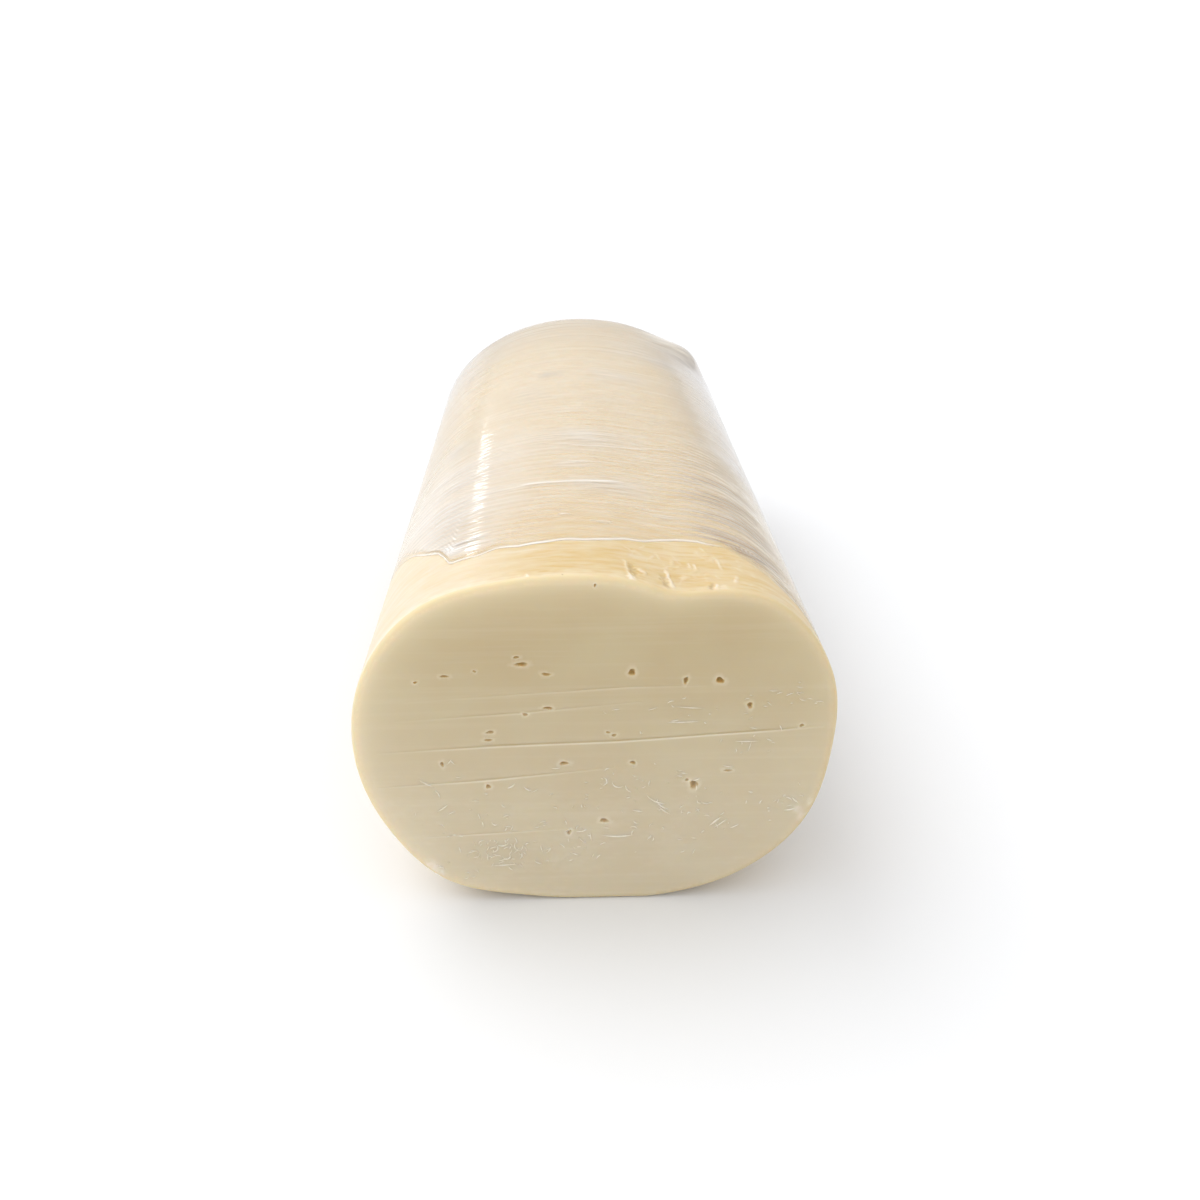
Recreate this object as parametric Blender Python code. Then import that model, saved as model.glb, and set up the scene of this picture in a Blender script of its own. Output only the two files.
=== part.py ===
"""A log of smoked provolone, cut across at its front end and wrapped in clear film.

The log lies along Y with the cut face at the front (-Y), +Z up, and the origin at the middle of
its underside. The film is a thin closed sleeve round the cheese: it starts at a wavy edge a
little behind the cut face and runs over the rounded back end.
"""
import math

import bmesh
import bpy
from mathutils import Matrix, Vector

MM = 0.001

# Driving dimensions of the log
LENGTH = 352 * MM
END_DEPTH = 52 * MM
END_ROUNDNESS = 1.8

# The flattened oval at the cut: its centre's height, and its radii every 22.5 degrees from +X
CUT_CENTRE = 56 * MM
CUT_RADII = [radius * MM for radius in (
    71.7, 75.2, 73.4, 61.8, 61.2, 64.9, 72.1, 73.9,
    72.3, 69.6, 67.1, 59.0, 56.3, 59.6, 65.4, 70.2)]

# The rounder oval that the log grows into where its back end starts
BACK_CENTRE = 53.0 * MM
BACK_HALF_WIDTH = 70.4 * MM
BACK_HALF_HEIGHT = 53.5 * MM

# A shallow sag in the cut edge at the upper right: angle, spread round the log, depth and reach
SAG_ANGLE = math.radians(68)
SAG_SPREAD = math.radians(8)
SAG_DEPTH = 1.6 * MM
SAG_REACH = 9 * MM

# The blunt corner high on the right of the back end: angle, spread, place along Y, height, reach
LOBE_ANGLE = math.radians(36)
LOBE_SPREAD = math.radians(10)
LOBE_PLACE = 292 * MM
LOBE_HEIGHT = 4.2 * MM
LOBE_REACH = 13 * MM

# The film and the gap that keeps it clear of the cheese
FILM_THICKNESS = 0.5 * MM
FILM_GAP = 0.3 * MM
CHEESE_INSET = FILM_THICKNESS + FILM_GAP

# Where the film's front edge lies behind the cut face: angle in degrees and distance in mm
FILM_EDGE = (
    (0, 8), (28, 9), (38, 12), (46, 19), (54, 30), (68, 30), (92, 24), (122, 25),
    (143, 52), (162, 71), (188, 66), (225, 50), (270, 30), (315, 14))

# The cut edge is slightly rounded
RIM_RADIUS = 1.0 * MM
RIM_STEPS = 2

# How finely the log is divided
SIDES = 64
BARREL_RINGS = 5
DOME_RINGS = 7
DOME_LAST = math.radians(83)

# Holes in the cut face: across, up, width, height and depth, in mm
EYES = (
    (-52.2, 83.3, 1.2, 0.9, 0.8), (-43.7, 85.2, 2.4, 1.0, 1.0), (-34.9, 86.8, 1.2, 0.7, 0.6),
    (-22.7, 91.3, 1.8, 0.8, 0.8), (-21.3, 88.9, 3.4, 1.6, 1.6), (-14.2, 85.4, 2.8, 1.1, 1.1),
    (10.7, 85.6, 2.4, 2.2, 2.0), (26.5, 82.5, 1.3, 2.8, 1.6), (36.5, 82.4, 2.4, 2.4, 2.4),
    (45.8, 73.5, 1.9, 2.0, 1.6), (61.8, 66.0, 1.4, 1.2, 0.9), (-13.9, 73.6, 2.6, 1.1, 1.2),
    (-20.7, 71.6, 1.9, 1.0, 0.9), (-31.3, 65.4, 2.6, 1.1, 1.2), (-32.0, 62.5, 2.2, 1.0, 1.1),
    (3.8, 64.7, 1.4, 0.8, 0.7), (5.6, 63.5, 1.6, 1.0, 0.9), (-9.5, 53.6, 2.6, 1.5, 1.5),
    (11.4, 53.5, 1.8, 1.4, 1.1), (30.2, 44.8, 3.0, 2.8, 2.4), (28.0, 46.7, 1.2, 1.0, 0.8),
    (40.4, 49.9, 2.4, 0.9, 0.9), (2.7, 31.5, 3.2, 1.5, 1.6), (-8.3, 27.1, 1.6, 2.0, 1.0),
    (-32.7, 45.5, 1.4, 1.9, 1.2), (-46.2, 54.0, 1.2, 1.8, 1.0))

# Knife ledges on the cut face: points across and up in mm, then depth in mm
LEDGES = (
    (((-56, 76.4), (9, 80.5), (34, 80.8)), 0.25),
    (((-59, 69.7), (-22, 72.0), (14, 75.4)), 0.30),
    (((-65, 58.4), (-29, 60.3), (7, 61.3), (49, 64.1), (69, 65.6)), 0.45),
    (((-66, 45.6), (-32, 47.8), (6, 51.8)), 0.45),
    (((-54, 26.1), (-36, 27.0), (-7, 28.6)), 0.30))
LEDGE_FADE = 10 * MM

# Chips out of the cut edge: angle in degrees, then place along Y, length and depth in mm
CHIPS = (
    (98.3, 0.6, 2.0, 0.7), (80.0, 3.0, 3.5, 0.9), (69.4, 5.0, 3.5, 0.8), (57.0, 2.5, 5.0, 0.9),
    (218.5, 0.0, 8.0, 0.8), (337.0, 0.0, 6.0, 0.7), (345.0, 0.0, 5.0, 0.6))
CHIP_BREADTH = 0.7

TAU = 2 * math.pi


def periodic(values, turn):
    """Smooth value between evenly spaced ones that go once round, at turn from 0 to 1."""
    count = len(values)
    place = (turn % 1.0) * count
    i = int(place) % count
    t = place - int(place)
    a, b, c, d = (values[(i + k) % count] for k in (-1, 0, 1, 2))
    return 0.5 * (2 * b + (c - a) * t + (2 * a - 5 * b + 4 * c - d) * t ** 2
                  + (3 * b - a - 3 * c + d) * t ** 3)


def film_edge(angle):
    """How far behind the cut face the film starts, at an angle round the log."""
    degrees = math.degrees(angle) % 360
    points = list(FILM_EDGE) + [(FILM_EDGE[0][0] + 360, FILM_EDGE[0][1])]
    for (d0, y0), (d1, y1) in zip(points, points[1:]):
        if d0 <= degrees <= d1:
            t = (degrees - d0) / (d1 - d0)
            ease = t * t * (3 - 2 * t)
            return (y0 + (y1 - y0) * ease) * MM
    return FILM_EDGE[0][1] * MM


def angle_from(angle, middle):
    """How far an angle is from a middle one, the short way round."""
    return (angle - middle + math.pi) % TAU - math.pi


def skin(angle, along, dome=0.0):
    """A point of the outer skin: along is the distance from the cut, dome the angle into the end."""
    shrink = 1.0
    if dome > 0:
        shrink = math.cos(dome) ** (2 / END_ROUNDNESS)
        along = LENGTH - END_DEPTH + END_DEPTH * math.sin(dome) ** (2 / END_ROUNDNESS)
    outward = Vector((math.cos(angle), 0, math.sin(angle)))
    sag = math.exp(-(angle_from(angle, SAG_ANGLE) / SAG_SPREAD) ** 2 - (along / SAG_REACH) ** 2)
    cut = outward * (periodic(CUT_RADII, angle / TAU) - SAG_DEPTH * sag)
    cut.z = max(cut.z + CUT_CENTRE, 0.0)
    back = outward / math.hypot(outward.x / BACK_HALF_WIDTH, outward.z / BACK_HALF_HEIGHT)
    back.z = max(back.z + BACK_CENTRE, 0.0)
    t = min(max(along / (LENGTH - END_DEPTH), 0.0), 1.0)
    centre = Vector((0, 0, CUT_CENTRE)).lerp(Vector((0, 0, BACK_CENTRE)), t)
    point = centre + (cut.lerp(back, t) - centre) * shrink
    lobe = math.exp(-(angle_from(angle, LOBE_ANGLE) / LOBE_SPREAD) ** 2
                    - ((along - LOBE_PLACE) / LOBE_REACH) ** 2)
    point += outward * LOBE_HEIGHT * lobe
    point.y = along - LENGTH / 2
    return point


def skin_normal(angle, along, dome=0.0):
    """The outward direction at a point of the skin, from its neighbours."""
    turn = math.radians(1.0)
    step = 0.5 * MM
    lean = math.radians(1.0)
    round_it = skin(angle + turn, along, dome) - skin(angle - turn, along, dome)
    if dome > 0:
        back = skin(angle, along, min(dome + lean, math.pi / 2)) - skin(angle, along, dome - lean / 2)
    else:
        back = skin(angle, along + step) - skin(angle, along - step)
    return back.cross(round_it).normalized()


def skin_ring(place, inset=0.0):
    """A ring of points round the log, inset below the skin; place gives along and dome by angle."""
    ring = []
    for i in range(SIDES):
        angle = TAU * i / SIDES
        along, dome = place(angle)
        ring.append(skin(angle, along, dome) - skin_normal(angle, along, dome) * inset)
    return ring


def wrapped_places():
    """The rings that the cheese and its film share, from the film's edge to the back end."""
    end = LENGTH - END_DEPTH
    places = []
    for i in range(BARREL_RINGS + 1):
        t = i / BARREL_RINGS
        places.append(lambda angle, t=t: (film_edge(angle) * (1 - t) + end * t, 0.0))
    for i in range(1, DOME_RINGS + 1):
        lean = DOME_LAST * i / DOME_RINGS
        places.append(lambda angle, lean=lean: (end, lean))
    return places


def pole(inset=0.0):
    """The middle of the back end."""
    return Vector((0, LENGTH / 2 - inset, BACK_CENTRE))


def add_rings(mesh, rings):
    """Add rings of vertices and the quads between them, and return the rings."""
    rows = [[mesh.verts.new(point) for point in ring] for ring in rings]
    for front, back in zip(rows, rows[1:]):
        bridge(mesh, front, back)
    return rows


def bridge(mesh, front, back):
    """Join two rings of the same count with quads."""
    count = len(front)
    for i in range(count):
        j = (i + 1) % count
        mesh.faces.new((front[i], front[j], back[j], back[i]))


def close_end(mesh, ring, point):
    """Close a ring with triangles to one point."""
    tip = mesh.verts.new(point)
    for i, vertex in enumerate(ring):
        mesh.faces.new((vertex, ring[(i + 1) % len(ring)], tip))


def finish_mesh(mesh, name, collection, material):
    """Turn a bmesh into a named object with one material and outward faces."""
    bmesh.ops.recalc_face_normals(mesh, faces=mesh.faces)
    data = bpy.data.meshes.new(name)
    mesh.to_mesh(data)
    mesh.free()
    data.materials.append(material)
    thing = bpy.data.objects.new(name, data)
    collection.objects.link(thing)
    return thing


def make_material(name, colour, roughness, alpha=1.0):
    """A Principled material of one colour."""
    material = bpy.data.materials.new(name)
    material.use_nodes = True
    shader = material.node_tree.nodes["Principled BSDF"]
    shader.inputs["Base Color"].default_value = (*colour, 1.0)
    shader.inputs["Roughness"].default_value = roughness
    shader.inputs["Metallic"].default_value = 0.0
    shader.inputs["Alpha"].default_value = alpha
    return material


def make_collection(name):
    """A collection linked to the scene."""
    collection = bpy.data.collections.new(name)
    bpy.context.scene.collection.children.link(collection)
    return collection


def make_cheese(collection, material):
    """The log itself: flat cut face, bare band of rind, and the body inset under the film."""
    mesh = bmesh.new()
    rings = []
    for i in range(RIM_STEPS + 1):
        lean = math.pi / 2 * i / RIM_STEPS
        depth = RIM_RADIUS * (1 - math.cos(lean))
        inset = RIM_RADIUS * (1 - math.sin(lean))
        rim = skin_ring(lambda angle, depth=depth: (depth, 0.0), inset)
        for point in rim:
            point.y = depth - LENGTH / 2
        rings.append(rim)
    rings.append(skin_ring(lambda angle: (film_edge(angle) / 2, 0.0)))
    rings.append(skin_ring(lambda angle: (film_edge(angle) - FILM_GAP, 0.0)))
    for place in wrapped_places():
        rings.append(skin_ring(place, CHEESE_INSET))
    # The step down under the film stands at the band's last ring
    for i in range(SIDES):
        rings[RIM_STEPS + 3][i].y = rings[RIM_STEPS + 2][i].y
    rows = add_rings(mesh, rings)
    mesh.faces.new(rows[0])
    close_end(mesh, rows[-1], pole(CHEESE_INSET))
    cheese = finish_mesh(mesh, "cheese", collection, material)
    cheese.data.shade_smooth()
    cheese.data.set_sharp_from_angle(angle=math.radians(35))
    return cheese


def make_film(collection, material):
    """The clear film: one thin closed sleeve with an open front and a closed back."""
    mesh = bmesh.new()
    places = wrapped_places()
    outer = add_rings(mesh, [skin_ring(place) for place in places])
    inner = add_rings(mesh, [skin_ring(place, FILM_THICKNESS) for place in places])
    bridge(mesh, outer[0], inner[0])
    close_end(mesh, outer[-1], pole())
    close_end(mesh, inner[-1], pole(FILM_THICKNESS))
    film = finish_mesh(mesh, "film_wrap", collection, material)
    film.data.shade_smooth()
    film.data.set_sharp_from_angle(angle=math.radians(35))
    return film


def add_lump(mesh, centre, size, spin=0.0, tilt=0.0):
    """Add a small faceted ellipsoid of the given full size, for a hole or a chip."""
    place = (Matrix.Translation(centre) @ Matrix.Rotation(spin, 4, "Y") @ Matrix.Rotation(tilt, 4, "X")
             @ Matrix.Diagonal((*(s / 2 for s in size), 1.0)))
    bmesh.ops.create_uvsphere(mesh, u_segments=8, v_segments=5, radius=1.0, matrix=place)


def add_ledge(mesh, points, depth):
    """Add a wedge that cuts the face back just above a knife ledge and fades out upwards."""
    face = -LENGTH / 2
    proud = 1.0 * MM
    rows = []
    last = len(points) - 1
    for i, (across, up) in enumerate(points):
        x, z = across * MM, up * MM
        deep = depth * MM * (0.15 if i in (0, last) else 1.0)
        slope = LEDGE_FADE * proud / deep
        rows.append([mesh.verts.new(Vector(corner)) for corner in (
            (x, face - proud, z), (x, face + deep, z),
            (x, face - proud, z + LEDGE_FADE + slope))])
    for left, right in zip(rows, rows[1:]):
        bridge(mesh, left, right)
    mesh.faces.new(rows[0])
    mesh.faces.new(rows[-1])


def make_cutters(collection, material):
    """The lumps that leave the holes in the face and the chips out of the cut edge, and the ledges."""
    face = -LENGTH / 2
    holes = bmesh.new()
    for i, (across, up, wide, high, deep) in enumerate(EYES):
        spin = math.radians(9 * math.sin(2.4 * i))
        add_lump(holes, (across * MM, face, up * MM), (wide * MM, 2 * deep * MM, high * MM), spin)
    chips = bmesh.new()
    for i, (degrees, along, size, deep) in enumerate(CHIPS):
        angle = math.radians(degrees)
        centre = skin(angle, along * MM)
        tilt = math.radians(25 * math.sin(1.7 * i))
        sizes = (size * MM, size * CHIP_BREADTH * MM, 2 * deep * MM)
        add_lump(chips, centre, sizes, math.pi / 2 - angle, tilt)
    cutters = [finish_mesh(holes, "hole_cutter", collection, material),
               finish_mesh(chips, "chip_cutter", collection, material)]
    for i, (points, depth) in enumerate(LEDGES):
        wedge = bmesh.new()
        add_ledge(wedge, points, depth)
        cutters.append(finish_mesh(wedge, "ledge_cutter_%d" % (i + 1), collection, material))
    for cutter in cutters:
        cutter.hide_render = True
        cutter.display_type = "WIRE"
    return cutters


def cut_with(thing, cutters):
    """Cut each cutter out of a thing with a Boolean of its own."""
    for cutter in cutters:
        boolean = thing.modifiers.new(cutter.name, "BOOLEAN")
        boolean.operation = "DIFFERENCE"
        boolean.solver = "EXACT"
        boolean.object = cutter
        boolean.show_render = boolean.show_viewport


def main():
    for thing in list(bpy.data.objects):
        bpy.data.objects.remove(thing)
    parts = make_collection("smoked_provolone")
    tools = make_collection("cutters")
    cheese = make_cheese(parts, make_material("smoked cheese", (0.62, 0.50, 0.33), 0.45))
    make_film(parts, make_material("clear stretch film", (0.90, 0.87, 0.82), 0.12, alpha=0.25))
    cut_with(cheese, make_cutters(tools, make_material("cutter", (0.8, 0.2, 0.1), 0.5)))


main()
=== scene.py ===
# %% [markdown]
# # A log of smoked provolone, cut at one end and wrapped in clear film
# Provolone for slicing is sold as a long log of pressed curd. It is smoked, which leaves a thin golden
# rind, and a cut log is wrapped in stretch film. This lesson dresses the plain solids of such a log.
# It makes a knife-cut face with small holes, ledges and shavings, a band of bare rind with chips, and
# a hazy film with fine wrinkles. Everything is mesh and node materials, in metres, with the log along
# Y and its cut at -Y.

import math

import bpy
import numpy as np
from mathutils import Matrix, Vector
from mathutils.geometry import delaunay_2d_cdt


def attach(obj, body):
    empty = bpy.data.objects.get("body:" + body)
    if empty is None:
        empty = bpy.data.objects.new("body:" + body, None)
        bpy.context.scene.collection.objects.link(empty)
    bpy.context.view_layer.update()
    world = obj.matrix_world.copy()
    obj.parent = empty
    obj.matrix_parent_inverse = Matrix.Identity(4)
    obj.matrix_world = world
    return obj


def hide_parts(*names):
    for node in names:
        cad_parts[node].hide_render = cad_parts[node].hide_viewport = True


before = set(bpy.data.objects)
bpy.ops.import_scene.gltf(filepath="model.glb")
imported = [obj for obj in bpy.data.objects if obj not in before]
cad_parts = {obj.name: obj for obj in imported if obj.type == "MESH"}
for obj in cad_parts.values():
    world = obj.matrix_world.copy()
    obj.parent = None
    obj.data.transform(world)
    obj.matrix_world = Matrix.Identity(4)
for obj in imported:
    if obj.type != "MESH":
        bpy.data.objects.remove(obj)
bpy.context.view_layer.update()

# %% [markdown]
# ## The camera
# It comes first, because every later choice is judged through it. The log was photographed from in
# front and above with a lens that takes in about 53 degrees, which makes the far end look much smaller
# than the cut. The place and the angles were worked out from the outline of the cut face and the
# outline of the whole log.

# %% Camera
MM = 0.001
CAMERA_PLACE = Vector((-7.4, -471.4, 270.0)) * MM
CAMERA_PITCH = math.radians(28.46)
CAMERA_TURN = math.radians(1.71)
LENS_MM = 36
SENSOR_MM = 36

scene = bpy.context.scene
camera = bpy.data.objects.new("camera", bpy.data.cameras.new("camera"))
camera.data.lens = LENS_MM
camera.data.sensor_width = SENSOR_MM
camera.location = CAMERA_PLACE
camera.rotation_euler = (math.pi / 2 - CAMERA_PITCH, 0, -CAMERA_TURN)
scene.collection.objects.link(camera)
scene.camera = camera

# %% [markdown]
# ## The log's form
# A log that rests on its side for weeks sags under its own weight, so its section is a flattened oval
# and no true circle. The section at the cut is given by its radius every 22.5 degrees, joined by a
# smooth curve. It grows into a rounder oval where the back end starts, and the end closes as a
# superellipse. One function gives a point of the skin from an angle and a distance, and the cheese and
# the film both start from it.

# %% Sizes of the log, as in the solids
LENGTH = 352 * MM
END_DEPTH = 52 * MM
END_ROUNDNESS = 1.8
CUT_CENTRE = 56 * MM
CUT_RADII = np.array((
    71.7, 75.2, 73.4, 61.8, 61.2, 64.9, 72.1, 73.9,
    72.3, 69.6, 67.1, 59.0, 56.3, 59.6, 65.4, 70.2)) * MM
BACK_CENTRE = 53.0 * MM
BACK_HALF_WIDTH = 70.4 * MM
BACK_HALF_HEIGHT = 53.5 * MM
BODY_LENGTH = LENGTH - END_DEPTH

# A shallow sag in the cut edge, and a blunt corner high on the right of the back end
SAG_ANGLE = math.radians(68)
SAG_SPREAD = math.radians(8)
SAG_DEPTH = 1.6 * MM
SAG_REACH = 9 * MM
LOBE_ANGLE = math.radians(36)
LOBE_SPREAD = math.radians(10)
LOBE_PLACE = 292 * MM
LOBE_HEIGHT = 4.2 * MM
LOBE_REACH = 13 * MM
TAU = 2 * math.pi
FRONT = -LENGTH / 2


# %% A smooth curve through values that go once round
def periodic(values, turn):
    """Smooth value between evenly spaced ones, at turn from 0 to 1."""
    place = (turn % 1.0) * len(values)
    i = np.floor(place).astype(int)
    t = place - i
    a, b, c, d = (values[(i + k) % len(values)] for k in (-1, 0, 1, 2))
    return 0.5 * (2 * b + (c - a) * t + (2 * a - 5 * b + 4 * c - d) * t ** 2
                  + (3 * b - a - 3 * c + d) * t ** 3)


def angle_from(angle, middle):
    """How far an angle is from a middle one, the short way round."""
    return (angle - middle + math.pi) % TAU - math.pi


def smooth(low, high, value):
    """An S-shaped step from 0 at low to 1 at high."""
    t = np.clip((value - low) / (high - low), 0, 1)
    return t * t * (3 - 2 * t)


# %% The skin of the log
def skin(angle, along, dome=0.0):
    """Points of the skin: along is the distance behind the cut, dome the angle into the rounded end."""
    angle, along, dome = (np.asarray(v, float) for v in np.broadcast_arrays(angle, along, dome))
    shrink = np.cos(dome) ** (2 / END_ROUNDNESS)
    reach = BODY_LENGTH + END_DEPTH * np.sin(dome) ** (2 / END_ROUNDNESS)
    along = np.where(dome > 0, reach, along)
    sag = np.exp(-(angle_from(angle, SAG_ANGLE) / SAG_SPREAD) ** 2 - (along / SAG_REACH) ** 2)
    cut = periodic(CUT_RADII, angle / TAU) - SAG_DEPTH * sag
    back = 1 / np.hypot(np.cos(angle) / BACK_HALF_WIDTH, np.sin(angle) / BACK_HALF_HEIGHT)
    t = np.clip(along / BODY_LENGTH, 0, 1)
    centre = CUT_CENTRE + (BACK_CENTRE - CUT_CENTRE) * t
    across = (cut + (back - cut) * t) * np.cos(angle)
    cut_up = np.maximum(CUT_CENTRE + cut * np.sin(angle), 0)
    back_up = np.maximum(BACK_CENTRE + back * np.sin(angle), 0)
    up = cut_up + (back_up - cut_up) * t
    lobe = LOBE_HEIGHT * np.exp(-(angle_from(angle, LOBE_ANGLE) / LOBE_SPREAD) ** 2
                                - ((along - LOBE_PLACE) / LOBE_REACH) ** 2)
    return np.stack([across * shrink + lobe * np.cos(angle), along + FRONT,
                     centre + (up - centre) * shrink + lobe * np.sin(angle)], axis=-1)


def outward(angle, along, dome=0.0):
    """The outward direction at points of the skin, from their neighbours."""
    turn = math.radians(1)
    step = 0.5 * MM
    round_it = skin(angle + turn, along, dome) - skin(angle - turn, along, dome)
    lean = np.where(np.asarray(dome) > 0, turn, 0)
    ahead = skin(angle, along - step, np.maximum(dome - lean / 2, 0))
    back = skin(angle, along + step, dome + lean) - ahead
    normal = np.cross(back, round_it)
    return normal / np.linalg.norm(normal, axis=-1, keepdims=True)


print("highest point of the cut: %.1f mm" % (skin(np.radians(np.arange(360)), 0)[:, 2].max() / MM))

# %% [markdown]
# ## Unevenness
# Nothing on food repeats, but it has to come out the same each run. A sum of sine waves with random
# directions from a fixed seed gives smooth relief of any size. It is taken from the point's place in
# space, so it has no seam where the angle starts again. Each direction has its own length, which makes
# streaks when they differ.


# %% Smooth random relief
def waves(seed, lengths, points, count=14):
    """Smooth random values of about -1 to 1, with a typical length in each direction."""
    random = np.random.default_rng(seed)
    total = np.zeros(points.shape[:-1])
    for _ in range(count):
        pitch = random.normal(size=3) / np.array(lengths)
        total += np.sin(TAU * (points @ pitch) + random.uniform(0, TAU))
    return total / math.sqrt(count)


def relief(sorts, points):
    """Several sorts of unevenness together, each with its height, its seed and its lengths."""
    return sum(height * waves(seed, lengths, points) for height, seed, lengths in sorts)


# %% The film's front edge: angle in degrees and distance behind the cut in mm, with a step at its corner
FILM_EDGE = np.array((
    (0, 8), (28, 9), (38, 12), (46, 19), (50, 25), (54, 30), (60, 33), (66, 33), (76, 29), (88, 25.5),
    (100, 24.5), (110, 23), (116, 24), (121, 22), (127.7, 21.5), (129.5, 27.5), (132, 34), (136, 40),
    (143.5, 52), (153.5, 64.5), (162, 71), (188, 66), (225, 50), (270, 30), (315, 14), (360, 8)))


def film_edge(angle):
    """How far behind the cut face the film starts, at an angle round the log."""
    return np.interp(np.degrees(angle) % 360, *FILM_EDGE.T) * MM


print("film starts %.0f to %.0f mm behind the cut" % (FILM_EDGE[:, 1].min(), FILM_EDGE[:, 1].max()))

# %% [markdown]
# ## Making a piece
# Each piece is worked out as a table of points and a list of faces, which becomes one mesh. Marks are
# numbers kept at the points, such as how pale the paste is there. The materials read them, so colour
# and relief agree.


# %% From points and faces to a piece of the object
def make_piece(name, points, faces, material, replaced=None, marks=None, smooth_shaded=True):
    """A mesh that rides on the log, stands for a solid if one is named, and carries its marks."""
    mesh = bpy.data.meshes.new(name)
    mesh.from_pydata(np.asarray(points).tolist(), [], faces)
    for key, values in (marks or {}).items():
        mesh.attributes.new(key, "FLOAT", "POINT").data.foreach_set("value", values.astype(np.float32))
    if smooth_shaded:
        mesh.shade_smooth()
    mesh.materials.append(material)
    piece = bpy.data.objects.new(name, mesh)
    scene.collection.objects.link(piece)
    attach(piece, "root")
    if replaced:
        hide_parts(replaced)
    triangles = sum(len(face) - 2 for face in faces)
    print("%s: %d points, %d triangles" % (name, len(points), triangles))
    return piece


def ring_faces(front, back):
    """Quads that join two rings of the same count, facing out."""
    after_front, after_back = np.roll(front, -1), np.roll(back, -1)
    return np.stack([front, back, after_back, after_front], axis=1).tolist()


def tube_faces(rings):
    """Quads from each ring to the next."""
    return [face for front, back in zip(rings, rings[1:]) for face in ring_faces(front, back)]


def tip_faces(ring, tip):
    """Triangles from the last ring to the one point that closes it."""
    return [(here, tip, after) for here, after in zip(ring.tolist(), np.roll(ring, -1).tolist())]


# %% [markdown]
# ## Colours and nodes
# Colours are written as sRGB hex, the way a colour picker shows them, and Blender's sockets want
# linear light, so one function turns them. One more function adds a node, fills in its sockets, links
# it and gives its output. Most colours here are layers, such as gold over paste, so a third function
# lays them.


# %% Colour and node helpers
def linear(colour):
    """Linear RGBA of an sRGB hex colour."""
    parts = [int(colour[i:i + 2], 16) / 255 for i in (1, 3, 5)]
    return (*(v / 12.92 if v <= 0.04045 else ((v + 0.055) / 1.055) ** 2.4 for v in parts), 1.0)


def add(tree, kind, settings=None, links=None, out=0):
    """Add a node, set its properties and inputs, link sockets to it and give one of its outputs."""
    node = tree.nodes.new("ShaderNode" + kind)
    for key, value in (settings or {}).items():
        if isinstance(key, str) and hasattr(node, key):
            setattr(node, key, value)
        else:
            node.inputs[key].default_value = value
    for key, source in (links or {}).items():
        tree.links.new(source, node.inputs[key])
    return node.outputs[out]


def new_material(name):
    """A material with an empty tree but for its output."""
    material = bpy.data.materials.new(name)
    material.use_nodes = True
    tree = material.node_tree
    for node in list(tree.nodes):
        if node.type != "OUTPUT_MATERIAL":
            tree.nodes.remove(node)
    return material, tree


def finish_material(tree, shader):
    """Send a shader to the material's output."""
    tree.links.new(shader, tree.nodes["Material Output"].inputs["Surface"])


# A value's range, and the range that it is mapped to
RANGE = ("From Min", "From Max", "To Min", "To Max")
MIX_UNDER = 6
MIX_OVER = 7
MIX_COLOUR = 2


def lay_colours(tree, colour, layers):
    """Lay colours over one another: a layer is a value, its range or None, and a colour."""
    for value, span, over in layers:
        if span:
            value = add(tree, "MapRange", dict(zip(RANGE, span)), {"Value": value})
        settings, links = {"data_type": "RGBA"}, {"Factor": value}
        for index, part in ((MIX_UNDER, colour), (MIX_OVER, over)):
            if isinstance(part, str):
                settings[index] = linear(part)
            else:
                links[index] = part
        colour = add(tree, "Mix", settings, links, MIX_COLOUR)
    return colour


# %% [markdown]
# ## The cheese's material: pressed curd with a smoked rind
# Provolone paste is fat and protein that light goes into and comes out of a few millimetres away, so
# it needs subsurface scattering with red going furthest. A knife leaves it satin, not glossy. The rind
# is the same paste stained gold by smoke in fine streaks that run round the log, where the log hung
# against its net and film. One material does both, because on the real log there is no joint: a mark
# on the mesh says how much is rind.

# %% Provolone paste and smoked rind
PASTE = "#C9B993"
PASTE_WARM = "#C6B38B"
PASTE_PALE = "#EFE8DA"
# The darkest paste colour is painted shade: in the ledges' corners and in the tears' pits
PASTE_SHADE = "#A68A5C"
# Painted light: the glow of light scattered through the rim
RIM_GLOW = "#F5E7C4"
# Painted shade inside the eyes
EYE_SHADE = "#C8A866"
RIND = "#DCC596"
RIND_GOLD = "#D4B475"
RIND_PALE = "#E9E0CF"
SMUDGE = "#A99C94"
PALEST = 1.4
PASTE_IOR = 1.45
SCATTER_LENGTH = 2.6 * MM
SCATTER_RGB = (1.0, 0.78, 0.52)

# Streaks run round the log, with blotches of 14 by 3.5 mm. The finest real ones are narrower than a
# pixel of the render, so they are drawn as coarse as they need to show: 9 mm long and 1.7 mm apart
STREAK_FINE = (1 / (9 * MM), 1 / (1.7 * MM), 1 / (9 * MM))
STREAK_BROAD = (1 / (14 * MM), 1 / (3.5 * MM), 1 / (14 * MM))
STREAK_ROUGHNESS = 0.6

# The knife left faint level streaks on the paste, 2.2 mm apart, over soft blotches of 28 mm
KNIFE_DRAG = (1 / (70 * MM), 1 / (70 * MM), 1 / (2.2 * MM))
BLOTCH = 1 / (28 * MM)

# How far the fine streaks break up the pale patches of the rind: the painted sheen on the left and the
# pale paste of the tears
PALE_STREAKING = (0.38, 0.62, 0.65, 1.12)
CHEESE_MARKS = ("rind", "pale", "eye", "glow", "smudge")


def streaks(tree, place, scale, detail=3.0):
    """Streaks or blotches: uneven values that are longer in one direction than in another."""
    stretched = add(tree, "Mapping", {"Scale": scale}, {"Vector": place})
    return add(tree, "TexNoise", {"Scale": 1.0, "Detail": detail, "Roughness": STREAK_ROUGHNESS},
               {"Vector": stretched}, "Fac")


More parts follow.
